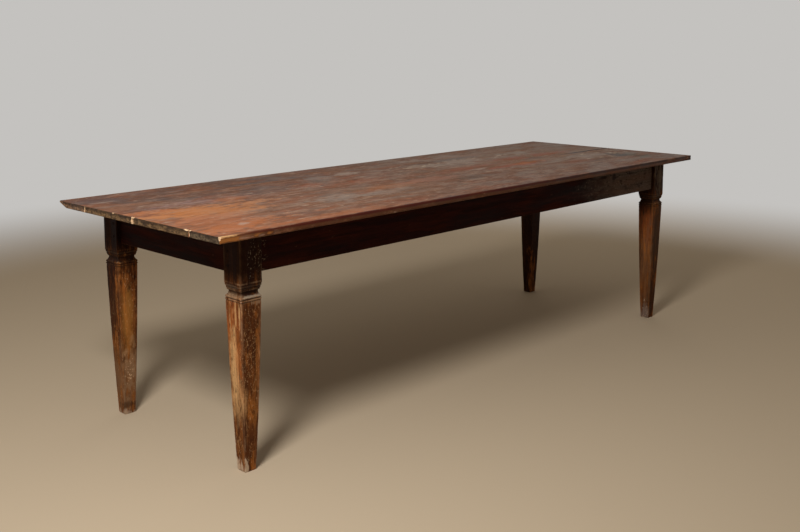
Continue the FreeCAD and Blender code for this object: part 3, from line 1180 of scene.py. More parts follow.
@dataclass
class Leg(Piece):
    """A square leg: post, ovolo, neck, collar and tapered shaft, worn at the arrises.

    Its patches and chips are placed from its own middle at the floor. Of the sizes that aren't listed, a
    width is across the leg, a rise or swell is how far a curve bows, a chamfer is how much it takes off,
    and the others are heights.

    Attributes:
        grooves: Small hollows in the moulding.
        neck_dirt_and_shade: How far from the neck the dirt and the painted shade reach.
        arris_radius: Usual roundness of the arrises.
        arris_rub: How far rubbing reaches from an arris.
        rim_rub: How far rubbing reaches from the moulding's edges.
        post_wear: How much of that rubbing the post has.
        dented_from: Height where the dents start.
        dented_to: Height where they end.
        dent: How deep a usual dent is.
    """

    post_width: float = 0.0825
    post_bottom: float = 0.604
    ovolo_foot: float = 0.583
    ovolo_foot_width: float = 0.0725
    cove_top: float = 0.580
    cove_top_width: float = 0.0695
    neck: float = 0.574
    neck_width: float = 0.0645
    cove_rise: float = 0.0008
    collar_top: float = 0.560
    collar_bottom: float = 0.548
    collar_width: float = 0.080
    flare_rise: float = 0.0016
    shaft_top: float = 0.5455
    shaft_top_width: float = 0.0778
    shaft_swell: float = 0.0017
    foot_width: float = 0.042
    foot_chamfer: float = 0.002
    grooves: tuple[Groove, ...] = (
        Groove(0.5545, 0.0040, 0.0022),
        Groove(0.5470, 0.0034, 0.0014),
        Groove(0.5905, 0.0030, 0.0018),
        Groove(0.5985, 0.0022, 0.0008),
    )
    neck_dirt_and_shade: float = 0.012
    arris_radius: float = 0.0018
    arris_rub: float = 0.004
    rim_rub: float = 0.0014
    post_wear: float = 0.35
    dented_from: float = 0.540
    dented_to: float = 0.612
    dent: float = 0.0011

    def __post_init__(self) -> None:
        """Takes its place from the frame."""
        low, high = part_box(self.node)
        self.middle = Vector(((low.x + high.x) / 2, (low.y + high.y) / 2, 0.0))
        self.top = high.z

    def placed(self) -> list[Patch]:
        """The patches where they lie on the table.

        Returns:
            The moved patches.
        """
        moved = []
        for patch in self.patches:
            moved.append(replace(patch, place=tuple(Vector(patch.place) + self.middle)))
        return moved

    def stretch(self, start: Pair, end: Pair, rise: float, count: int) -> list[Pair]:
        """Points of one stretch of the outline, without its first.

        Args:
            start: Height and half width at its lower end.
            end: Height and half width at its upper end.
            rise: How far its middle stands out from the straight line.
            count: How many points.

        Returns:
            Heights and half widths.
        """
        points = []
        for index in range(1, count + 1):
            share = index / count
            bulge = 4 * rise * share * (1 - share)
            height = start[0] + (end[0] - start[0]) * share
            points.append((height, start[1] + (end[1] - start[1]) * share + bulge))
        return points

    def outline(self) -> list[Pair]:
        """The leg's outline from the floor to the top.

        Returns:
            Heights and half widths.
        """
        half = 0.5
        ovolo_step = (self.post_width - self.ovolo_foot_width) * half
        ovolo_rise = ovolo_step / 4
        # Height, half width, how far the stretch below it stands out, and how many points that has
        stops = [
            (0.0, self.foot_width * half - self.foot_chamfer, 0.0, 1),
            (self.foot_chamfer, self.foot_width * half, 0.0, 3),
            (self.shaft_top, self.shaft_top_width * half, self.shaft_swell, 124),
            (self.collar_bottom, self.collar_width * half, 0.0, 5),
            (self.collar_top, self.collar_width * half, 0.0, 22),
            (self.neck, self.neck_width * half, -self.flare_rise, 20),
            (self.cove_top, self.cove_top_width * half, -self.cove_rise, 8),
            (self.cove_top, self.ovolo_foot_width * half, 0.0, 2),
            (self.ovolo_foot, self.ovolo_foot_width * half, 0.0, 4),
            (self.post_bottom, self.post_width * half, ovolo_rise, 32),
            (self.top, self.post_width * half, 0.0, 34),
        ]
        points = [stops[0][:2]]
        for start, (height, width, rise, count) in zip(stops, stops[1:]):
            points += self.stretch(start[:2], (height, width), rise, count)
        grooved = []
        for height, width in points:
            grooved.append((height, width - sum(groove.cut(height) for groove in self.grooves)))
        return grooved

    def rims(self) -> tuple[float, ...]:
        """Heights of the moulding's edges that get rubbed."""
        return self.collar_bottom, self.collar_top, self.ovolo_foot, self.post_bottom

    def dirt_and_shade_in_hollows(self, height: float) -> float:
        """How much the grooves and the neck are darkened: dirt in the grooves, and dirt with painted
        shade in the neck.

        Args:
            height: A height on the leg.

        Returns:
            The share, from 0 to 1.
        """
        most = 0.9
        grooved = sum(groove.cut(height) / groove.depth for groove in self.grooves)
        # Painted shade under the ovolo, with dirt, darkens the neck
        neck = 1 - abs(height - self.neck) / self.neck_dirt_and_shade
        return min(most, max(grooved, neck, 0.0))

    def dented(self, place: Vector) -> float:
        """How deep knocks have dented the moulding.

        Args:
            place: A place on the leg.

        Returns:
            The depth, from 0.
        """
        if not self.dented_from < place.z < self.dented_to:
            return 0.0
        wide_swings, fine_swings, fine_share, fade = 85, 190, 0.6, 8
        knocks = wobble(place, wide_swings, self.seed)
        knocks += fine_share * wobble(place, fine_swings, self.seed, 1)
        edge = min(place.z - self.dented_from, self.dented_to - place.z)
        share = edge / (self.dented_to - self.dented_from)
        return self.dent * max(0.0, knocks) * min(1.0, share * fade)

    def arris(self, across: Vector, height: float) -> float:
        """How round the nearest arris is.

        Args:
            across: A place on the sharp leg, from its middle.
            height: The place's height.

        Returns:
            The radius there.
        """
        wide_swings, fine_swings, fine_share = 26, 95, 0.5
        apart, spread, least = 7.0, 0.8, 0.35
        corner = [math.copysign(apart, part) for part in across]
        swing = noise.noise(Vector((*corner, height * wide_swings + self.seed)))
        swing += fine_share * noise.noise(Vector((*corner, height * fine_swings + self.seed)))
        return self.arris_radius * max(least, 1 + spread * swing)

    def rubbed(self, across: Vector, height: float, half: float) -> float:
        """How much of the finish is rubbed off.

        Args:
            across: A place on the leg, from its middle.
            height: The place's height.
            half: Half the leg's width there.

        Returns:
            The share, from 0.
        """
        patch_swings, usual, spread = 40, 0.6, 0.9
        gap = half - min(abs(across.x), abs(across.y))
        rim = max(math.exp(-abs(height - edge) / self.rim_rub) for edge in self.rims())
        patchy = usual + spread * wobble(Vector((*across, height)), patch_swings, self.seed)
        share = max(0.0, max(math.exp(-gap / self.arris_rub), rim) * patchy)
        return share * self.post_wear if height > self.post_bottom else share

    def mesh(self) -> Block:
        """The worn leg.

        Returns:
            Its finished shape, with its marks.
        """
        rows = self.outline()
        columns = graded(-1.0, 1.0, fine=0.02, coarse=0.13, reach=0.09)
        block = grid_block([columns, columns, [float(index) for index in range(len(rows))]])
        marks = add_marks(block)
        for vert in block.verts:
            row = round(vert.co.z)
            height, half = rows[row]
            half -= self.dented(Vector((vert.co.x * half, vert.co.y * half, height)))
            sharp = Vector((vert.co.x * half, vert.co.y * half))
            across = rounded(sharp, (-half, -half), (half, half), self.arris(sharp, height))
            vert[marks[Mark.WORN]] = self.rubbed(across, height, half)
            vert[marks[Mark.HOLLOW]] = self.dirt_and_shade_in_hollows(height)
            vert[marks[Mark.END]] = 1.0 if row in (0, len(rows) - 1) else 0.0
            vert.co = Vector((*across, height))
        self.strike(block)
        bmesh.ops.translate(block, verts=block.verts, vec=self.middle)
        return block


@dataclass
class TableTop(Group):
    """The four boards of the top.

    Attributes:
        patches: Stains and rubbed places, wherever they lie on the top.
        chips: What has broken off the boards, by node.
        slot: Name of the boards' material slot.
        first_seed: Seed of the back board.
    """

    patches: list[Patch]
    chips: dict[str, list[Chip]]
    slot: str = "top_wood"
    first_seed: float = 1.0

    def pieces(self) -> list[Piece]:
        """Lays out the boards.

        Returns:
            The boards from back to front.
        """
        rows = [
            ("top_board_back", BevelledPlank, (JOINT, BACK), shade(150, 116, 88)),
            ("top_board_mid_back", PartedPlank, (JOINT, JOINT), shade(138, 108, 74)),
            ("top_board_mid_front", PartedPlank, (JOINT, JOINT), shade(128, 100, 68)),
            ("top_board_front", Plank, (FRONT, JOINT), shade(104, 88, 68)),
        ]
        made = []
        for index, (node, kind, sides, end_grain) in enumerate(rows):
            low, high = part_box(node)
            near = []
            for patch in self.patches:
                y, reach = patch.place[1], patch.reach[1]
                if low.y - reach < y < high.y + reach:
                    near.append(patch)
            board = kind(
                node=node,
                slot=self.slot,
                seed=self.first_seed + index,
                low=low,
                high=high,
                sides=sides,
                ends=SAWN_END,
                long_axis=Grain.ALONG,
                wood=replace(TOP_FINISH, end_grain=end_grain),
                patches=near,
                chips=self.chips.get(node, []),
            )
            made.append(board)
        return made


@dataclass
class Legs(Group):
    """The four legs.

    Attributes:
        woods: Each leg's finish, by node.
        shared: Stains and rubbed places that all the legs have.
        patches: Each leg's own stains and rubbed places, by node.
        chips: What has broken off the legs, by node.
        slot: Name of the legs' material slot.
        first_seed: Seed of the first leg.
    """

    woods: dict[str, WoodFinish]
    shared: list[Patch]
    patches: dict[str, list[Patch]]
    chips: dict[str, list[Chip]]
    slot: str = "leg_wood"
    first_seed: float = 31.0

    def pieces(self) -> list[Piece]:
        """Lays out the legs.

        Returns:
            The legs, in the order of their finishes.
        """
        made = []
        for index, (node, wood) in enumerate(self.woods.items()):
            patches = self.shared + self.patches[node]
            chips = self.chips.get(node, [])
            made.append(Leg(node, self.slot, self.first_seed + index, wood, patches, chips))
        return made


@dataclass
class Aprons(Group):
    """The four rails between the posts.

    Attributes:
        patches: Stains and scuffs, by node.
        slot: Name of the rails' material slot.
        first_seed: Seed of the front rail.
        sunk: How far a rail runs into the posts.
        coarse: Widest spacing of a rail's grid.
    """

    patches: dict[str, list[Patch]]
    slot: str = "apron_wood"
    first_seed: float = 11.0
    sunk: float = 0.004
    coarse: float = 0.012

    def pieces(self) -> list[Piece]:
        """Lays out the rails.

        Returns:
            The front, back, left and right rail.
        """
        rows = [
            ("apron_front", Grain.ALONG),
            ("apron_back", Grain.ALONG),
            ("apron_left", Grain.ACROSS),
            ("apron_right", Grain.ACROSS),
        ]
        left_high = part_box("leg_front_left")[1]
        right_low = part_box("leg_back_right")[0]
        made = []
        for index, (node, along) in enumerate(rows):
            low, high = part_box(node)
            low[along.value] = left_high[along.value] - self.sunk
            high[along.value] = right_low[along.value] + self.sunk
            rail = Plank(
                node=node,
                slot=self.slot,
                seed=self.first_seed + index,
                low=low,
                high=high,
                sides=(RAIL, RAIL),
                ends=RAIL,
                long_axis=along,
                wood=replace(APRON_FINISH, grain=along),
                patches=self.patches.get(node, []),
                chips=[],
                coarse=self.coarse,
            )
            made.append(rail)
        return made


@dataclass(frozen=True)
class Lamp:
    """A soft oval lamp that the camera doesn't see.

    Attributes:
        name: Its name.
        place: Where it hangs.
        aim: The place that it looks at.
        size: Its width and height.
        power: Its power in watts.
        mirrored: Whether it shows in glossy faces.
    """

    name: str
    place: Triple
    aim: Triple
    size: Pair
    power: float
    mirrored: bool = True

    def build(self) -> None:
        """Hangs the lamp in its place."""
        data = bpy.data.lights.new(self.name, "AREA")
        data.shape = "ELLIPSE"
        data.size, data.size_y = self.size
        data.energy = self.power
        lamp = bpy.data.objects.new(self.name, data)
        lamp.location = self.place
        lamp.rotation_euler = (Vector(self.place) - Vector(self.aim)).to_track_quat("Z", "Y").to_euler()
        lamp.visible_camera = False
        lamp.visible_glossy = self.mirrored
        bpy.context.scene.collection.objects.link(lamp)


@dataclass
class Studio:
    """A seamless pale bowl, a soft lamp, a low fill, a faint sky and the camera.

    Attributes:
        floor_radius: Radius of the flat floor.
        rim_radius: Radius of the curve from the floor to the wall.
        wall_height: Height of the wall above that curve.
        pale: Colour of the floor.
        wall: Colour of the wall.
        fade_start: How far out the floor starts to turn into the wall.
        fade_end: How far out only the wall shows.
        lamps: The lamps.
        sky: Colour of the light from all round.
        sky_strength: How strong it is.
        sensor: Width of the camera's sensor, in millimetres.
        lens: Focal length, in millimetres.
        shift: How far the view is raised, as a share of the picture's width.
        eye: Where the camera stands.
        pitch: How far it looks down, in degrees.
        yaw: How far it is turned to the right of +Y, in degrees.
    """

    floor_radius: float = 7.5
    rim_radius: float = 1.5
    wall_height: float = 3.0
    pale: Triple = shade(190, 171, 145)
    wall: Triple = shade(196, 194, 191)
    fade_start: float = 2.6
    fade_end: float = 5.0
    lamps: tuple[Lamp, ...] = (
        Lamp("soft_lamp", (-2.8, -1.3, 2.66), (-0.2, 0.0, 0.6), (0.8, 0.8), 95.0),
        Lamp("fill_lamp", (5.0, 3.6, 0.45), (0.0, 0.0, 0.45), (4.0, 0.7), 120.0, mirrored=False),
    )
    sky: Triple = (1.0, 0.95, 0.88)
    sky_strength: float = 0.28
    sensor: float = 36.0
    lens: float = 45.458
    shift: float = -0.12
    eye: Triple = (-3.04447, -2.79023, 1.34866)
    pitch: float = 7.5984
    yaw: float = 46.055

    def build(self) -> None:
        """Makes the bowl, the lights and the camera."""
        stand("bowl", self.bowl(), self.plaster())
        for lamp in self.lamps:
            lamp.build()
        self.sky_light()
        self.camera()

    def bowl(self) -> Block:
        """A round floor whose rim curves up into a wall.

        Returns:
            The shape of the stage.
        """
        segments, steps = 128, 12
        shape = bmesh.new()
        bmesh.ops.create_circle(shape, cap_ends=True, segments=segments, radius=self.floor_radius)
        rim = [edge for edge in shape.edges if edge.is_boundary]
        radius, height = self.floor_radius, 0.0
        places = []
        for index in range(1, steps + 1):
            turn = math.pi / 2 * index / steps
            across = self.floor_radius + self.rim_radius * math.sin(turn)
            places.append((across, self.rim_radius * (1 - math.cos(turn))))
        places.append((self.floor_radius + self.rim_radius, self.rim_radius + self.wall_height))
        for across, up in places:
            grown = bmesh.ops.extrude_edge_only(shape, edges=rim)["geom"]
            verts = [item for item in grown if isinstance(item, bmesh.types.BMVert)]
            bmesh.ops.scale(shape, vec=(across / radius, across / radius, 1.0), verts=verts)
            bmesh.ops.translate(shape, vec=(0.0, 0.0, up - height), verts=verts)
            radius, height = across, up
            rim = [item for item in grown if isinstance(item, bmesh.types.BMEdge)]
        return shape

    def plaster(self) -> bpy.types.Material:
        """The bowl's finish: a floor that takes shadows and turns into an even pale wall further out.

        Returns:
            The material.
        """
        graph = Graph("pale_stage")
        distance = graph.length(graph.mapped(graph.point(), (1.0, 1.0, 0.0)))
        path = graph.add("ShaderNodeLightPath", {}).outputs
        seen = graph.math("MAXIMUM", path["Is Camera Ray"], path["Is Glossy Ray"])
        seen = graph.math("MAXIMUM", seen, path["Is Transmission Ray"])
        share = graph.times(seen, graph.span(distance, self.fade_start, self.fade_end))
        floor = graph.add("ShaderNodeBsdfDiffuse", {"Color": self.pale})
        even = graph.add("ShaderNodeEmission", {"Color": self.wall, "Strength": 1.0})
        both = graph.add("ShaderNodeMixShader", {0: share, 1: floor.outputs[0], 2: even.outputs[0]})
        graph.add("ShaderNodeOutputMaterial", {"Surface": both.outputs[0]})
        return graph.material

    def sky_light(self) -> None:
        """The faint light from all round."""
        world = bpy.data.worlds.new("soft_sky")
        world.use_nodes = True
        background = world.node_tree.nodes["Background"]
        background.inputs["Color"].default_value = (*self.sky, 1.0)
        background.inputs["Strength"].default_value = self.sky_strength
        bpy.context.scene.world = world

    def camera(self) -> None:
        """The camera at the photograph's angle."""
        data = bpy.data.cameras.new("camera")
        data.sensor_width = self.sensor
        data.lens = self.lens
        data.shift_y = self.shift
        camera = bpy.data.objects.new("camera", data)
        camera.location = self.eye
        camera.rotation_euler = (math.radians(90 - self.pitch), 0.0, math.radians(-self.yaw))
        bpy.context.scene.collection.objects.link(camera)
        bpy.context.scene.camera = camera


def dress(node: str, material: bpy.types.Material) -> None:
    """Gives a node of the frame its finish.

    Args:
        node: The node's name.
        material: The finish.
    """
    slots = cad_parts[node].data.materials
    slots.clear()
    slots.append(material)
    LOG.info("%s: %s", node, material.name)


@dataclass(frozen=True)
class SteelFinish:
    """Dull old steel with brown rust in patches.

    Attributes:
        steel: Colour of the metal.
        rust: Colour of the rust.
    """

    steel: Triple = shade(120, 114, 108)
    rust: Triple = shade(92, 58, 38)

    def material(self, name: str) -> bpy.types.Material:
        """Makes the material.

        Args:
            name: The material's name.

        Returns:
            The material.
        """
        swings = (260.0, 260.0, 260.0)
        rust_noise, dull_noise, gloss = (0.42, 0.6), (0.35, 0.65), (0.4, 0.75)
        bump_strength, bump_depth = 0.3, 0.0003
        graph = Graph(name)
        spots = graph.noise(graph.point(), swings, detail=4.0, roughness=0.6)
        colour = graph.mix(graph.span(spots, *rust_noise), self.steel, self.rust)
        metallic = graph.span(spots, *rust_noise, 1.0, 0.0)
        rough = graph.span(spots, *dull_noise, *gloss)
        inputs = {"Base Color": colour, "Metallic": metallic, "Roughness": rough}
        return graph.close(inputs, spots, bump_strength, bump_depth)


SECONDARY_FINISH = WoodFinish(
    deep=shade(96, 66, 42),
    body=shade(146, 112, 76),
    faded=shade(170, 138, 100),
    rubbed=shade(180, 150, 112),
    fresh=Tone.BARE.value,
    end_grain=shade(140, 112, 84),
    under=shade(120, 88, 60),
    grain=Grain.ACROSS,
    tone=(3.0, 12.0),
    contrast=0.4,
    gloss=(0.6, 0.8),
)
PEG_FINISH = WoodFinish(
    deep=shade(20, 8, 4),
    body=shade(34, 16, 9),
    faded=shade(48, 28, 18),
    rubbed=shade(60, 38, 26),
    fresh=Tone.BARE.value,
    end_grain=shade(60, 40, 28),
    under=shade(60, 40, 28),
    grain=Grain.UPRIGHT,
    tone=(60.0, 60.0),
    streak=0.004,
    gloss=(0.6, 0.8),
    shine=0.06,
)


@dataclass
class Hardware:
    """The inner pieces, which keep their shape from the frame.

    Attributes:
        wooden: Tongues, bearers and buttons.
        pegs: Pegs of the aprons.
        screws: Screws of the bearers and buttons.
        first_seed: Seed of the first finish.
    """

    wooden: tuple[str, ...] = (
        *(f"joint_tongue_{place}" for place in ("back", "centre", "front")),
        *(f"bearer_{number}" for number in (1, 2, 3)),
        "top_buttons",
    )
    pegs: tuple[str, ...] = ("draw_pegs_long_aprons", "draw_pegs_end_aprons")
    screws: tuple[str, ...] = ("bearer_screws", "button_screws")
    first_seed: float = 21.0

    def build(self) -> None:
        """Gives each its finish."""
        bare = SECONDARY_FINISH.material("bare_old_wood", self.first_seed, [])
        dark = PEG_FINISH.material("dark_peg_wood", self.first_seed + 1, [])
        steel = SteelFinish().material("old_steel")
        for nodes, material in ((self.wooden, bare), (self.pegs, dark), (self.screws, steel)):
            for node in nodes:
                dress(node, material)


TOP_FACE = CAD_BOX[1][2]
NEAR_END = round(CAD_BOX[0][0], 4)


def spot(
    x: float, y: float, length: float, width: float, tone: Tone, strength: float, **more: float
) -> Patch:
    """A stain on the upper face of the top.

    Args:
        x: Its middle along the table.
        y: Its middle across the table.
        length: How far it spreads along the table.
        width: How far it spreads across the table.
        tone: Its colour.
        strength: How much it hides, from 0 to 1.
        more: The patch's other fields.

    Returns:
        The patch.
    """
    depth = 0.2
    return Patch((x, y, TOP_FACE), (length, width, depth), tone, strength, **more)


def veil(*row: Union[float, Tone], **more: float) -> Patch:
    """A stain like a spot, over the scuffs and fibres."""
    return replace(spot(*row, **more), covers=True)


TOP_PATCHES = [
    spot(-1.16, -0.085, 0.26, 0.11, Tone.GOLD, 0.85),
    spot(-1.29, 0.03, 0.13, 0.03, Tone.ORANGE, 0.8),
    spot(-1.21, -0.36, 0.19, 0.06, Tone.ORANGE, 0.75),
    spot(-1.22, -0.22, 0.16, 0.08, Tone.BRICK, 0.6),
    spot(-1.07, 0.085, 0.15, 0.05, Tone.LILAC, 0.6),
    spot(-0.95, 0.065, 0.07, 0.045, Tone.ORANGE, 0.7),
    spot(-0.66, -0.19, 0.17, 0.045, Tone.GREY, 0.75),
    spot(-0.42, -0.21, 0.12, 0.05, Tone.GREY, 0.5),
    spot(-0.389, 0.235, 0.07, 0.035, Tone.GREY, 0.7),
    spot(-0.204, 0.258, 0.06, 0.04, Tone.PALE, 0.8),
    spot(-0.074, 0.219, 0.07, 0.03, Tone.GREY, 0.7),
    spot(0.168, 0.18, 0.10, 0.04, Tone.PALE, 0.5, soft=0.5),
    spot(0.427, 0.17, 0.10, 0.05, Tone.PALE, 0.5, soft=0.5),
    spot(0.32, 0.33, 0.10, 0.05, Tone.GREY, 0.7),
    spot(0.873, 0.211, 0.1, 0.05, Tone.GREY, 0.85),
    spot(-0.538, 0.117, 0.06, 0.04, Tone.RUSSET, 0.7, soft=0.5),
    spot(-0.333, 0.06, 0.11, 0.06, Tone.RUSSET, 0.7, soft=0.5),
    spot(-0.343, -0.125, 0.16, 0.045, Tone.ORANGE, 0.6),
    spot(-1.31, 0.4, 0.14, 0.08, Tone.PLUM, 0.7),
    spot(-1.0, -0.43, 0.5, 0.035, Tone.BRICK, 0.7),
    veil(-1.15, -0.06, 0.22, 0.07, Tone.GOLD, 0.45),
    veil(-1.25, -0.3, 0.16, 0.14, Tone.BRICK, 0.4),
    veil(0.75, 0.1, 0.9, 0.45, Tone.TAN, 0.3),
    veil(1.0, 0.0, 0.75, 0.6, Tone.PALE, 0.12),
    veil(-0.5, -0.2, 0.55, 0.22, Tone.TAN, 0.18),
    veil(0.35, 0.25, 0.18, 0.03, Tone.BARK, 0.35, soft=0.5),
    veil(0.05, -0.19, 0.15, 0.03, Tone.BARK, 0.35, soft=0.5),
    veil(0.78, 0.02, 0.1, 0.02, Tone.BARK, 0.35, soft=0.5),
    veil(0.98, -0.23, 0.16, 0.03, Tone.BARK, 0.3, soft=0.5),
    veil(0.27, -0.002, 0.22, 0.04, Tone.CHESTNUT, 0.65, soft=0.5),
    veil(0.39, -0.08, 0.10, 0.03, Tone.CHESTNUT, 0.9, soft=0.4),
    veil(0.60, -0.068, 0.14, 0.045, Tone.CHESTNUT, 0.9, soft=0.4),
    veil(0.62, -0.066, 0.10, 0.026, Tone.ORANGE, 0.8, soft=0.4),
    veil(0.67, 0.065, 0.13, 0.05, Tone.CHESTNUT, 0.8, soft=0.4),
    veil(0.93, 0.06, 0.13, 0.05, Tone.RUSSET, 0.8, soft=0.4),
    veil(-0.10, -0.11, 0.14, 0.05, Tone.RUSSET, 0.5, soft=0.5),
    veil(0.80, -0.2, 0.12, 0.04, Tone.CHESTNUT, 0.4, soft=0.5),
    veil(0.3, 0.175, 0.3, 0.06, Tone.BLEACHED, 0.75, specks=40.0),
    veil(0.102, 0.23, 0.10, 0.04, Tone.BLEACHED, 0.5, specks=45.0),
    veil(0.29, -0.055, 0.05, 0.012, Tone.PALE, 0.6, soft=0.5),
    veil(0.31, -0.13, 0.12, 0.05, Tone.BLEACHED, 0.5, specks=50.0),
    veil(0.82, 0.195, 0.16, 0.06, Tone.BLEACHED, 0.75, specks=34.0),
    veil(0.76, -0.13, 0.10, 0.03, Tone.GREY, 0.4, soft=0.5),
    veil(1.07, -0.11, 0.20, 0.08, Tone.PALE, 0.2, fray=0.9, soft=0.5),
    veil(1.07, -0.12, 0.24, 0.12, Tone.BLEACHED, 0.75, specks=34.0),
    veil(1.2, -0.27, 0.07, 0.08, Tone.SLATE, 0.6, fray=0.8),
    veil(1.15, -0.2, 0.04, 0.06, Tone.BARK, 0.65, fray=0.8, soft=0.5),
    veil(-0.95, 0.36, 0.5, 0.13, Tone.BARK, 0.3, fray=0.9),
    veil(-1.29, 0.315, 0.04, 0.007, Tone.PALE, 0.45),
    veil(-1.195, -0.343, 0.014, 0.012, Tone.PALE, 0.5, fray=1.0),
    Film((0.0, -0.4665, 0.768), (3.0, 0.009, 0.03), Tone.BARK, 0.75),
    Film((0.1, -0.4665, 0.768), (1.8, 0.009, 0.03), Tone.UMBER, 0.55, fray=0.3),
    Film((0.6, -0.4665, 0.7765), (0.9, 0.0075, 0.007), Tone.SOOT_AND_SHADE, 0.8, fray=0.25),
    Film((-1.33, -0.467, 0.766), (0.12, 0.007, 0.013), Tone.HONEY, 0.6),
    Film((-0.5, -0.4665, 0.7765), (1.1, 0.0075, 0.006), Tone.OXBLOOD, 0.9, fray=0.25),
    Film((-1.34, -0.4648, 0.7793), (0.06, 0.005, 0.004), Tone.STRAW, 0.85),
    Film((1.18, -0.0025, 0.78), (0.26, 0.010, 0.01), Tone.SOOT_AND_SHADE, 0.85, fray=0.4),
    Film((1.372, -0.465, 0.77), (0.03, 0.03, 0.03), Tone.SOOT_AND_SHADE, 0.7),
    Film((-1.372, 0.465, 0.78), (0.02, 0.016, 0.02), Tone.SOOT_AND_SHADE, 0.8),
]
TOP_CHIPS = {
    "top_board_back": [
        Chip((NEAR_END, 0.2911, 0.765), (-1.0, -0.3, 0.0), (0.010, 0.008, 0.014), 0.004, 0.9),
        Chip((NEAR_END, 0.2911, 0.776), (-1.0, -0.6, 0.2), (0.006, 0.006, 0.008), 0.002, 0.6),
        Chip((NEAR_END, 0.4651, 0.78), (-0.6, 0.6, 0.5), (0.012, 0.014, 0.010), 0.003, 0.0),
    ],
    "top_board_mid_back": [
        Chip((NEAR_END, 0.110, 0.78), (-0.7, 0.0, 0.7), (0.008, 0.008, 0.007), 0.003, 0.9),
        Chip((NEAR_END, -0.0023, 0.78), (-0.6, -0.5, 0.7), (0.011, 0.010, 0.010), 0.004),
        Chip((NEAR_END, -0.0023, 0.765), (-1.0, -0.3, 0.0), (0.010, 0.007, 0.016), 0.004),
    ],
    "top_board_mid_front": [
        Chip((NEAR_END, -0.0027, 0.765), (-1.0, 0.2, 0.0), (0.012, 0.011, 0.018), 0.005),
        Chip((NEAR_END, -0.006, 0.78), (-0.5, 0.2, 0.8), (0.016, 0.018, 0.010), 0.006),
        Chip((NEAR_END, -0.140, 0.758), (-0.7, 0.0, -0.7), (0.008, 0.018, 0.007), 0.003, 0.6),
        Chip((NEAR_END, -0.302, 0.78), (-0.6, 0.0, 0.8), (0.014, 0.018, 0.008), 0.004),
    ],
    "top_board_front": [
        Chip((NEAR_END, -0.318, 0.78), (-0.35, 0.2, 0.9), (0.030, 0.018, 0.006), 0.003),
        Chip((NEAR_END, -0.3111, 0.765), (-1.0, 0.3, 0.0), (0.010, 0.011, 0.014), 0.005, 0.9),
        Chip((NEAR_END, -0.4651, 0.774), (-0.7, -0.7, 0.3), (0.014, 0.014, 0.014), 0.005, 0.8),
    ],
}
LEG_PATCHES = [
    # Painted shade with the posts' own dark stain: the posts are darkened where the top's overhang shades
    # them
    Film((0.0, 0.0, 0.7), (0.3, 0.3, 0.115), Tone.SOOT_AND_SHADE, 0.93, fray=0.12),
    # A dark ring round the necks, partly dirt and partly painted shade under the ovolo
    Film((0.0, 0.0, 0.576), (0.3, 0.3, 0.020), Tone.BARK, 0.6, fray=0.6),
    Film((0.0, 0.0, 0.561), (0.3, 0.3, 0.010), Tone.DUST, 0.6, specks=220.0),
    Film((0.0, 0.0, 0.593), (0.3, 0.3, 0.005), Tone.DUST, 0.2),
]
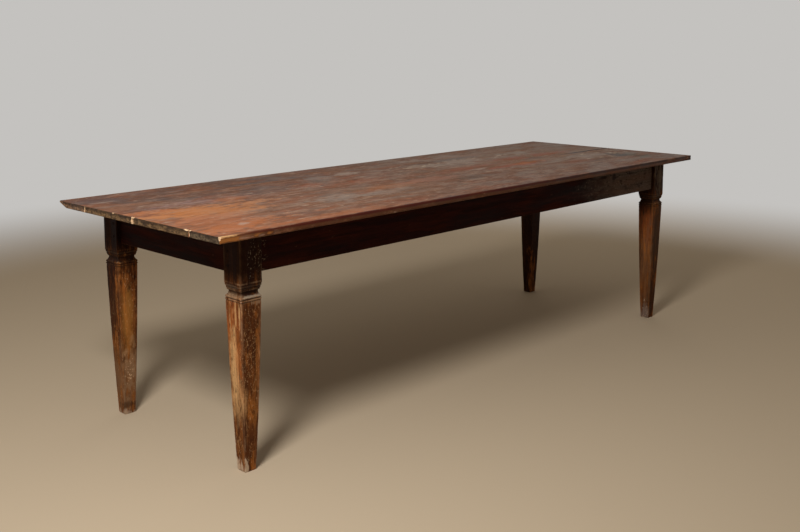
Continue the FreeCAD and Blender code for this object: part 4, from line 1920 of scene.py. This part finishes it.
OWN_LEG_PATCHES = {
    "leg_front_left": [
        Film((0.0, -0.042, 0.592), (0.06, 0.012, 0.03), Tone.SOOT_AND_SHADE, 0.6),
        Film((-0.04, -0.028, 0.50), (0.012, 0.004, 0.05), Tone.STRAW, 0.7, fray=0.8),
        Film((-0.04, -0.010, 0.51), (0.012, 0.003, 0.035), Tone.STRAW, 0.55, fray=0.8),
        Film((-0.04, 0.020, 0.50), (0.012, 0.003, 0.045), Tone.STRAW, 0.5, fray=0.8),
        Patch((-0.04, 0.0, 0.49), (0.02, 0.06, 0.06), Tone.RUSSET, 0.5),
        Patch((-0.04, 0.0, 0.43), (0.02, 0.04, 0.06), Tone.ORANGE, 0.5),
        Patch((-0.036, 0.012, 0.34), (0.018, 0.022, 0.10), Tone.STRAW, 0.9),
        Patch((-0.034, -0.02, 0.33), (0.012, 0.014, 0.10), Tone.ORANGE, 0.6),
        Patch((-0.03, 0.0, 0.23), (0.016, 0.05, 0.06), Tone.STRAW, 0.55),
        Patch((-0.025, 0.0, 0.10), (0.016, 0.04, 0.07), Tone.UMBER, 0.4),
        Film((-0.024, 0.0, 0.012), (0.014, 0.04, 0.034), Tone.BLEACHED, 0.85, soft=0.5),
        Patch((0.0, -0.04, 0.44), (0.04, 0.018, 0.13), Tone.UMBER, 0.85),
        Patch((0.0, -0.035, 0.31), (0.035, 0.016, 0.07), Tone.UMBER, 0.6),
        Patch((0.01, -0.03, 0.18), (0.03, 0.016, 0.06), Tone.HONEY, 0.4),
        Patch((0.0, -0.024, 0.09), (0.04, 0.012, 0.1), Tone.UMBER, 0.85),
        Film((0.02, -0.041, 0.68), (0.03, 0.01, 0.05), Tone.DUST, 0.6, specks=230.0),
        Film((0.0, -0.04, 0.45), (0.04, 0.012, 0.10), Tone.SOOT_AND_SHADE, 0.35),
        Film((0.0, -0.036, 0.37), (0.04, 0.012, 0.13), Tone.STRAW, 0.4, specks=260.0),
        Film((-0.036, 0.0, 0.563), (0.016, 0.06, 0.011), Tone.TAN, 0.55, fray=0.9),
        Film((-0.036, 0.01, 0.563), (0.016, 0.05, 0.010), Tone.BARE, 0.5, specks=240.0),
        # Painted shade on the neck's front face under the ovolo, over some dirt
        Film((0.0, -0.034, 0.576), (0.05, 0.012, 0.009), Tone.SOOT_AND_SHADE, 0.85, fray=0.3),
        Film((0.014, -0.039, 0.562), (0.042, 0.010, 0.0045), Tone.DUST, 0.8),
        Film((0.014, -0.041, 0.5505), (0.04, 0.008, 0.0035), Tone.TAN, 0.7, fray=0.8),
        Film((0.03, -0.04, 0.541), (0.02, 0.008, 0.007), Tone.TAN, 0.6, fray=1.0),
    ],
    "leg_back_left": [
        Patch((-0.04, 0.0, 0.40), (0.02, 0.06, 0.2), Tone.UMBER, 0.8),
        Film((0.0, 0.0, 0.13), (0.06, 0.06, 0.15), Tone.ASH, 0.7, fray=0.5),
        Film((-0.006, -0.04, 0.34), (0.026, 0.018, 0.15), Tone.OCHRE, 0.5, fray=0.35, soft=1.1),
        Film((-0.04, 0.01, 0.42), (0.02, 0.04, 0.16), Tone.SOOT_AND_SHADE, 0.5),
        Film((0.036, -0.035, 0.4), (0.014, 0.03, 0.2), Tone.SOOT_AND_SHADE, 0.55),
        Film((0.0, 0.0, 0.57), (0.1, 0.1, 0.09), Tone.SOOT_AND_SHADE, 0.75),
        Film((0.0, -0.03, 0.14), (0.03, 0.02, 0.09), Tone.TAN, 0.35, fray=0.8),
        Film((-0.002, -0.027, 0.15), (0.018, 0.01, 0.07), Tone.BARE, 0.75, specks=270.0),
        Film((0.0, -0.02, 0.035), (0.04, 0.03, 0.012), Tone.SOOT_AND_SHADE, 0.5),
        Film((-0.005, -0.01, 0.0), (0.04, 0.03, 0.018), Tone.BLEACHED, 0.55),
    ],
    "leg_front_right": [
        Patch((-0.04, 0.0, 0.45), (0.02, 0.05, 0.12), Tone.RUSSET, 0.5),
        Patch((-0.03, 0.0, 0.2), (0.02, 0.05, 0.15), Tone.UMBER, 0.4),
        Patch((0.01, -0.04, 0.4), (0.05, 0.018, 0.3), Tone.SLATE, 0.35),
        # Painted shade: darkens the front face, which the lamp only grazes
        Film((0.01, -0.04, 0.4), (0.05, 0.018, 0.3), Tone.SOOT_AND_SHADE, 0.35),
        Patch((0.0, -0.026, 0.12), (0.04, 0.012, 0.13), Tone.SOOT_AND_SHADE, 0.6),
        Film((0.0, -0.041, 0.69), (0.05, 0.01, 0.07), Tone.DUST, 0.34),
        Film((-0.034, 0.0, 0.27), (0.014, 0.05, 0.2), Tone.ASH, 0.35),
        Film((-0.04, 0.0, 0.58), (0.02, 0.06, 0.07), Tone.SOOT_AND_SHADE, 0.7, fray=0.2),
        Film((-0.04, 0.03, 0.4), (0.02, 0.016, 0.16), Tone.SOOT_AND_SHADE, 0.5),
        Patch((-0.024, 0.0, 0.0), (0.016, 0.03, 0.05), Tone.GREY, 0.5),
        Film((-0.024, 0.0, 0.02), (0.016, 0.03, 0.05), Tone.BLEACHED, 0.6, specks=150.0),
    ],
    "leg_back_right": [
        # Painted shade: the whole leg is darkened, as it stands in the shade of the top
        Film((0.0, 0.0, 0.4), (0.2, 0.2, 0.4), Tone.SOOT_AND_SHADE, 0.85),
    ],
}
LEG_CHIPS = {
    "leg_front_left": [
        Chip((-0.021, -0.021, 0.004), (-0.8, -0.6, -0.1), (0.010, 0.007, 0.028), 0.0018, 0.9),
        Chip((0.021, -0.021, 0.012), (0.8, -0.6, 0.0), (0.006, 0.006, 0.022), 0.0015, 0.7),
        Chip((-0.04, -0.04, 0.554), (-0.7, -0.7, 0.0), (0.012, 0.012, 0.008), 0.003, 0.5),
    ],
    "leg_back_left": [
        Chip((-0.021, -0.021, 0.0), (-0.7, -0.7, -0.3), (0.014, 0.014, 0.025), 0.004, 0.6),
        Chip((0.021, -0.021, 0.0), (0.7, -0.7, -0.3), (0.012, 0.012, 0.03), 0.004, 0.7),
    ],
    "leg_front_right": [
        Chip((-0.021, 0.021, 0.0), (-0.7, 0.7, -0.3), (0.012, 0.012, 0.025), 0.003, 0.6),
    ],
}
CALM_SCUFFS = (
    Wash(shade(36, 17, 7), 36.0, 110.0, 0.55, 0.66, 0.35),
    Wash(shade(136, 88, 50), 60.0, 160.0, 0.58, 0.7, 0.3),
)
LEG_WOODS = {
    "leg_front_left": replace(LEG_FINISH, rubbed=shade(174, 142, 110), rubbing=0.7),
    "leg_back_left": replace(LEG_FINISH, rubbing=0.2),
    "leg_front_right": replace(LEG_FINISH, rubbing=0.4, scuffs=CALM_SCUFFS),
    "leg_back_right": replace(LEG_FINISH, rubbing=0.2),
}
APRON_PATCHES = {
    "apron_front": [
        Patch((1.03, -0.377, 0.694), (0.34, 0.03, 0.2), Tone.GREY, 0.38, fray=0.2, soft=1.0),
        Film((0.98, -0.377, 0.694), (0.28, 0.02, 0.08), Tone.DUST, 0.4, specks=130.0),
        Film((0.98, -0.377, 0.71), (0.26, 0.02, 0.06), Tone.SOOT_AND_SHADE, 0.7, specks=70.0),
        Film((0.837, -0.377, 0.716), (0.012, 0.02, 0.022), Tone.SOOT_AND_SHADE, 0.8),
        Film((0.755, -0.377, 0.725), (0.03, 0.02, 0.006), Tone.SOOT_AND_SHADE, 0.8),
        Film((-1.15, -0.377, 0.68), (0.016, 0.02, 0.05), Tone.DUST, 0.5, specks=200.0),
    ],
}


def main() -> None:
    """Builds the table's looks and the studio, in order."""
    logging.basicConfig(level=logging.INFO, format="%(message)s")
    bpy.context.scene.view_settings.view_transform = "Standard"
    TableTop(TOP_PATCHES, TOP_CHIPS).build()
    Legs(LEG_WOODS, LEG_PATCHES, OWN_LEG_PATCHES, LEG_CHIPS).build()
    Aprons(APRON_PATCHES).build()
    Hardware().build()
    Studio().build()


if __name__ == "__main__":
    main()
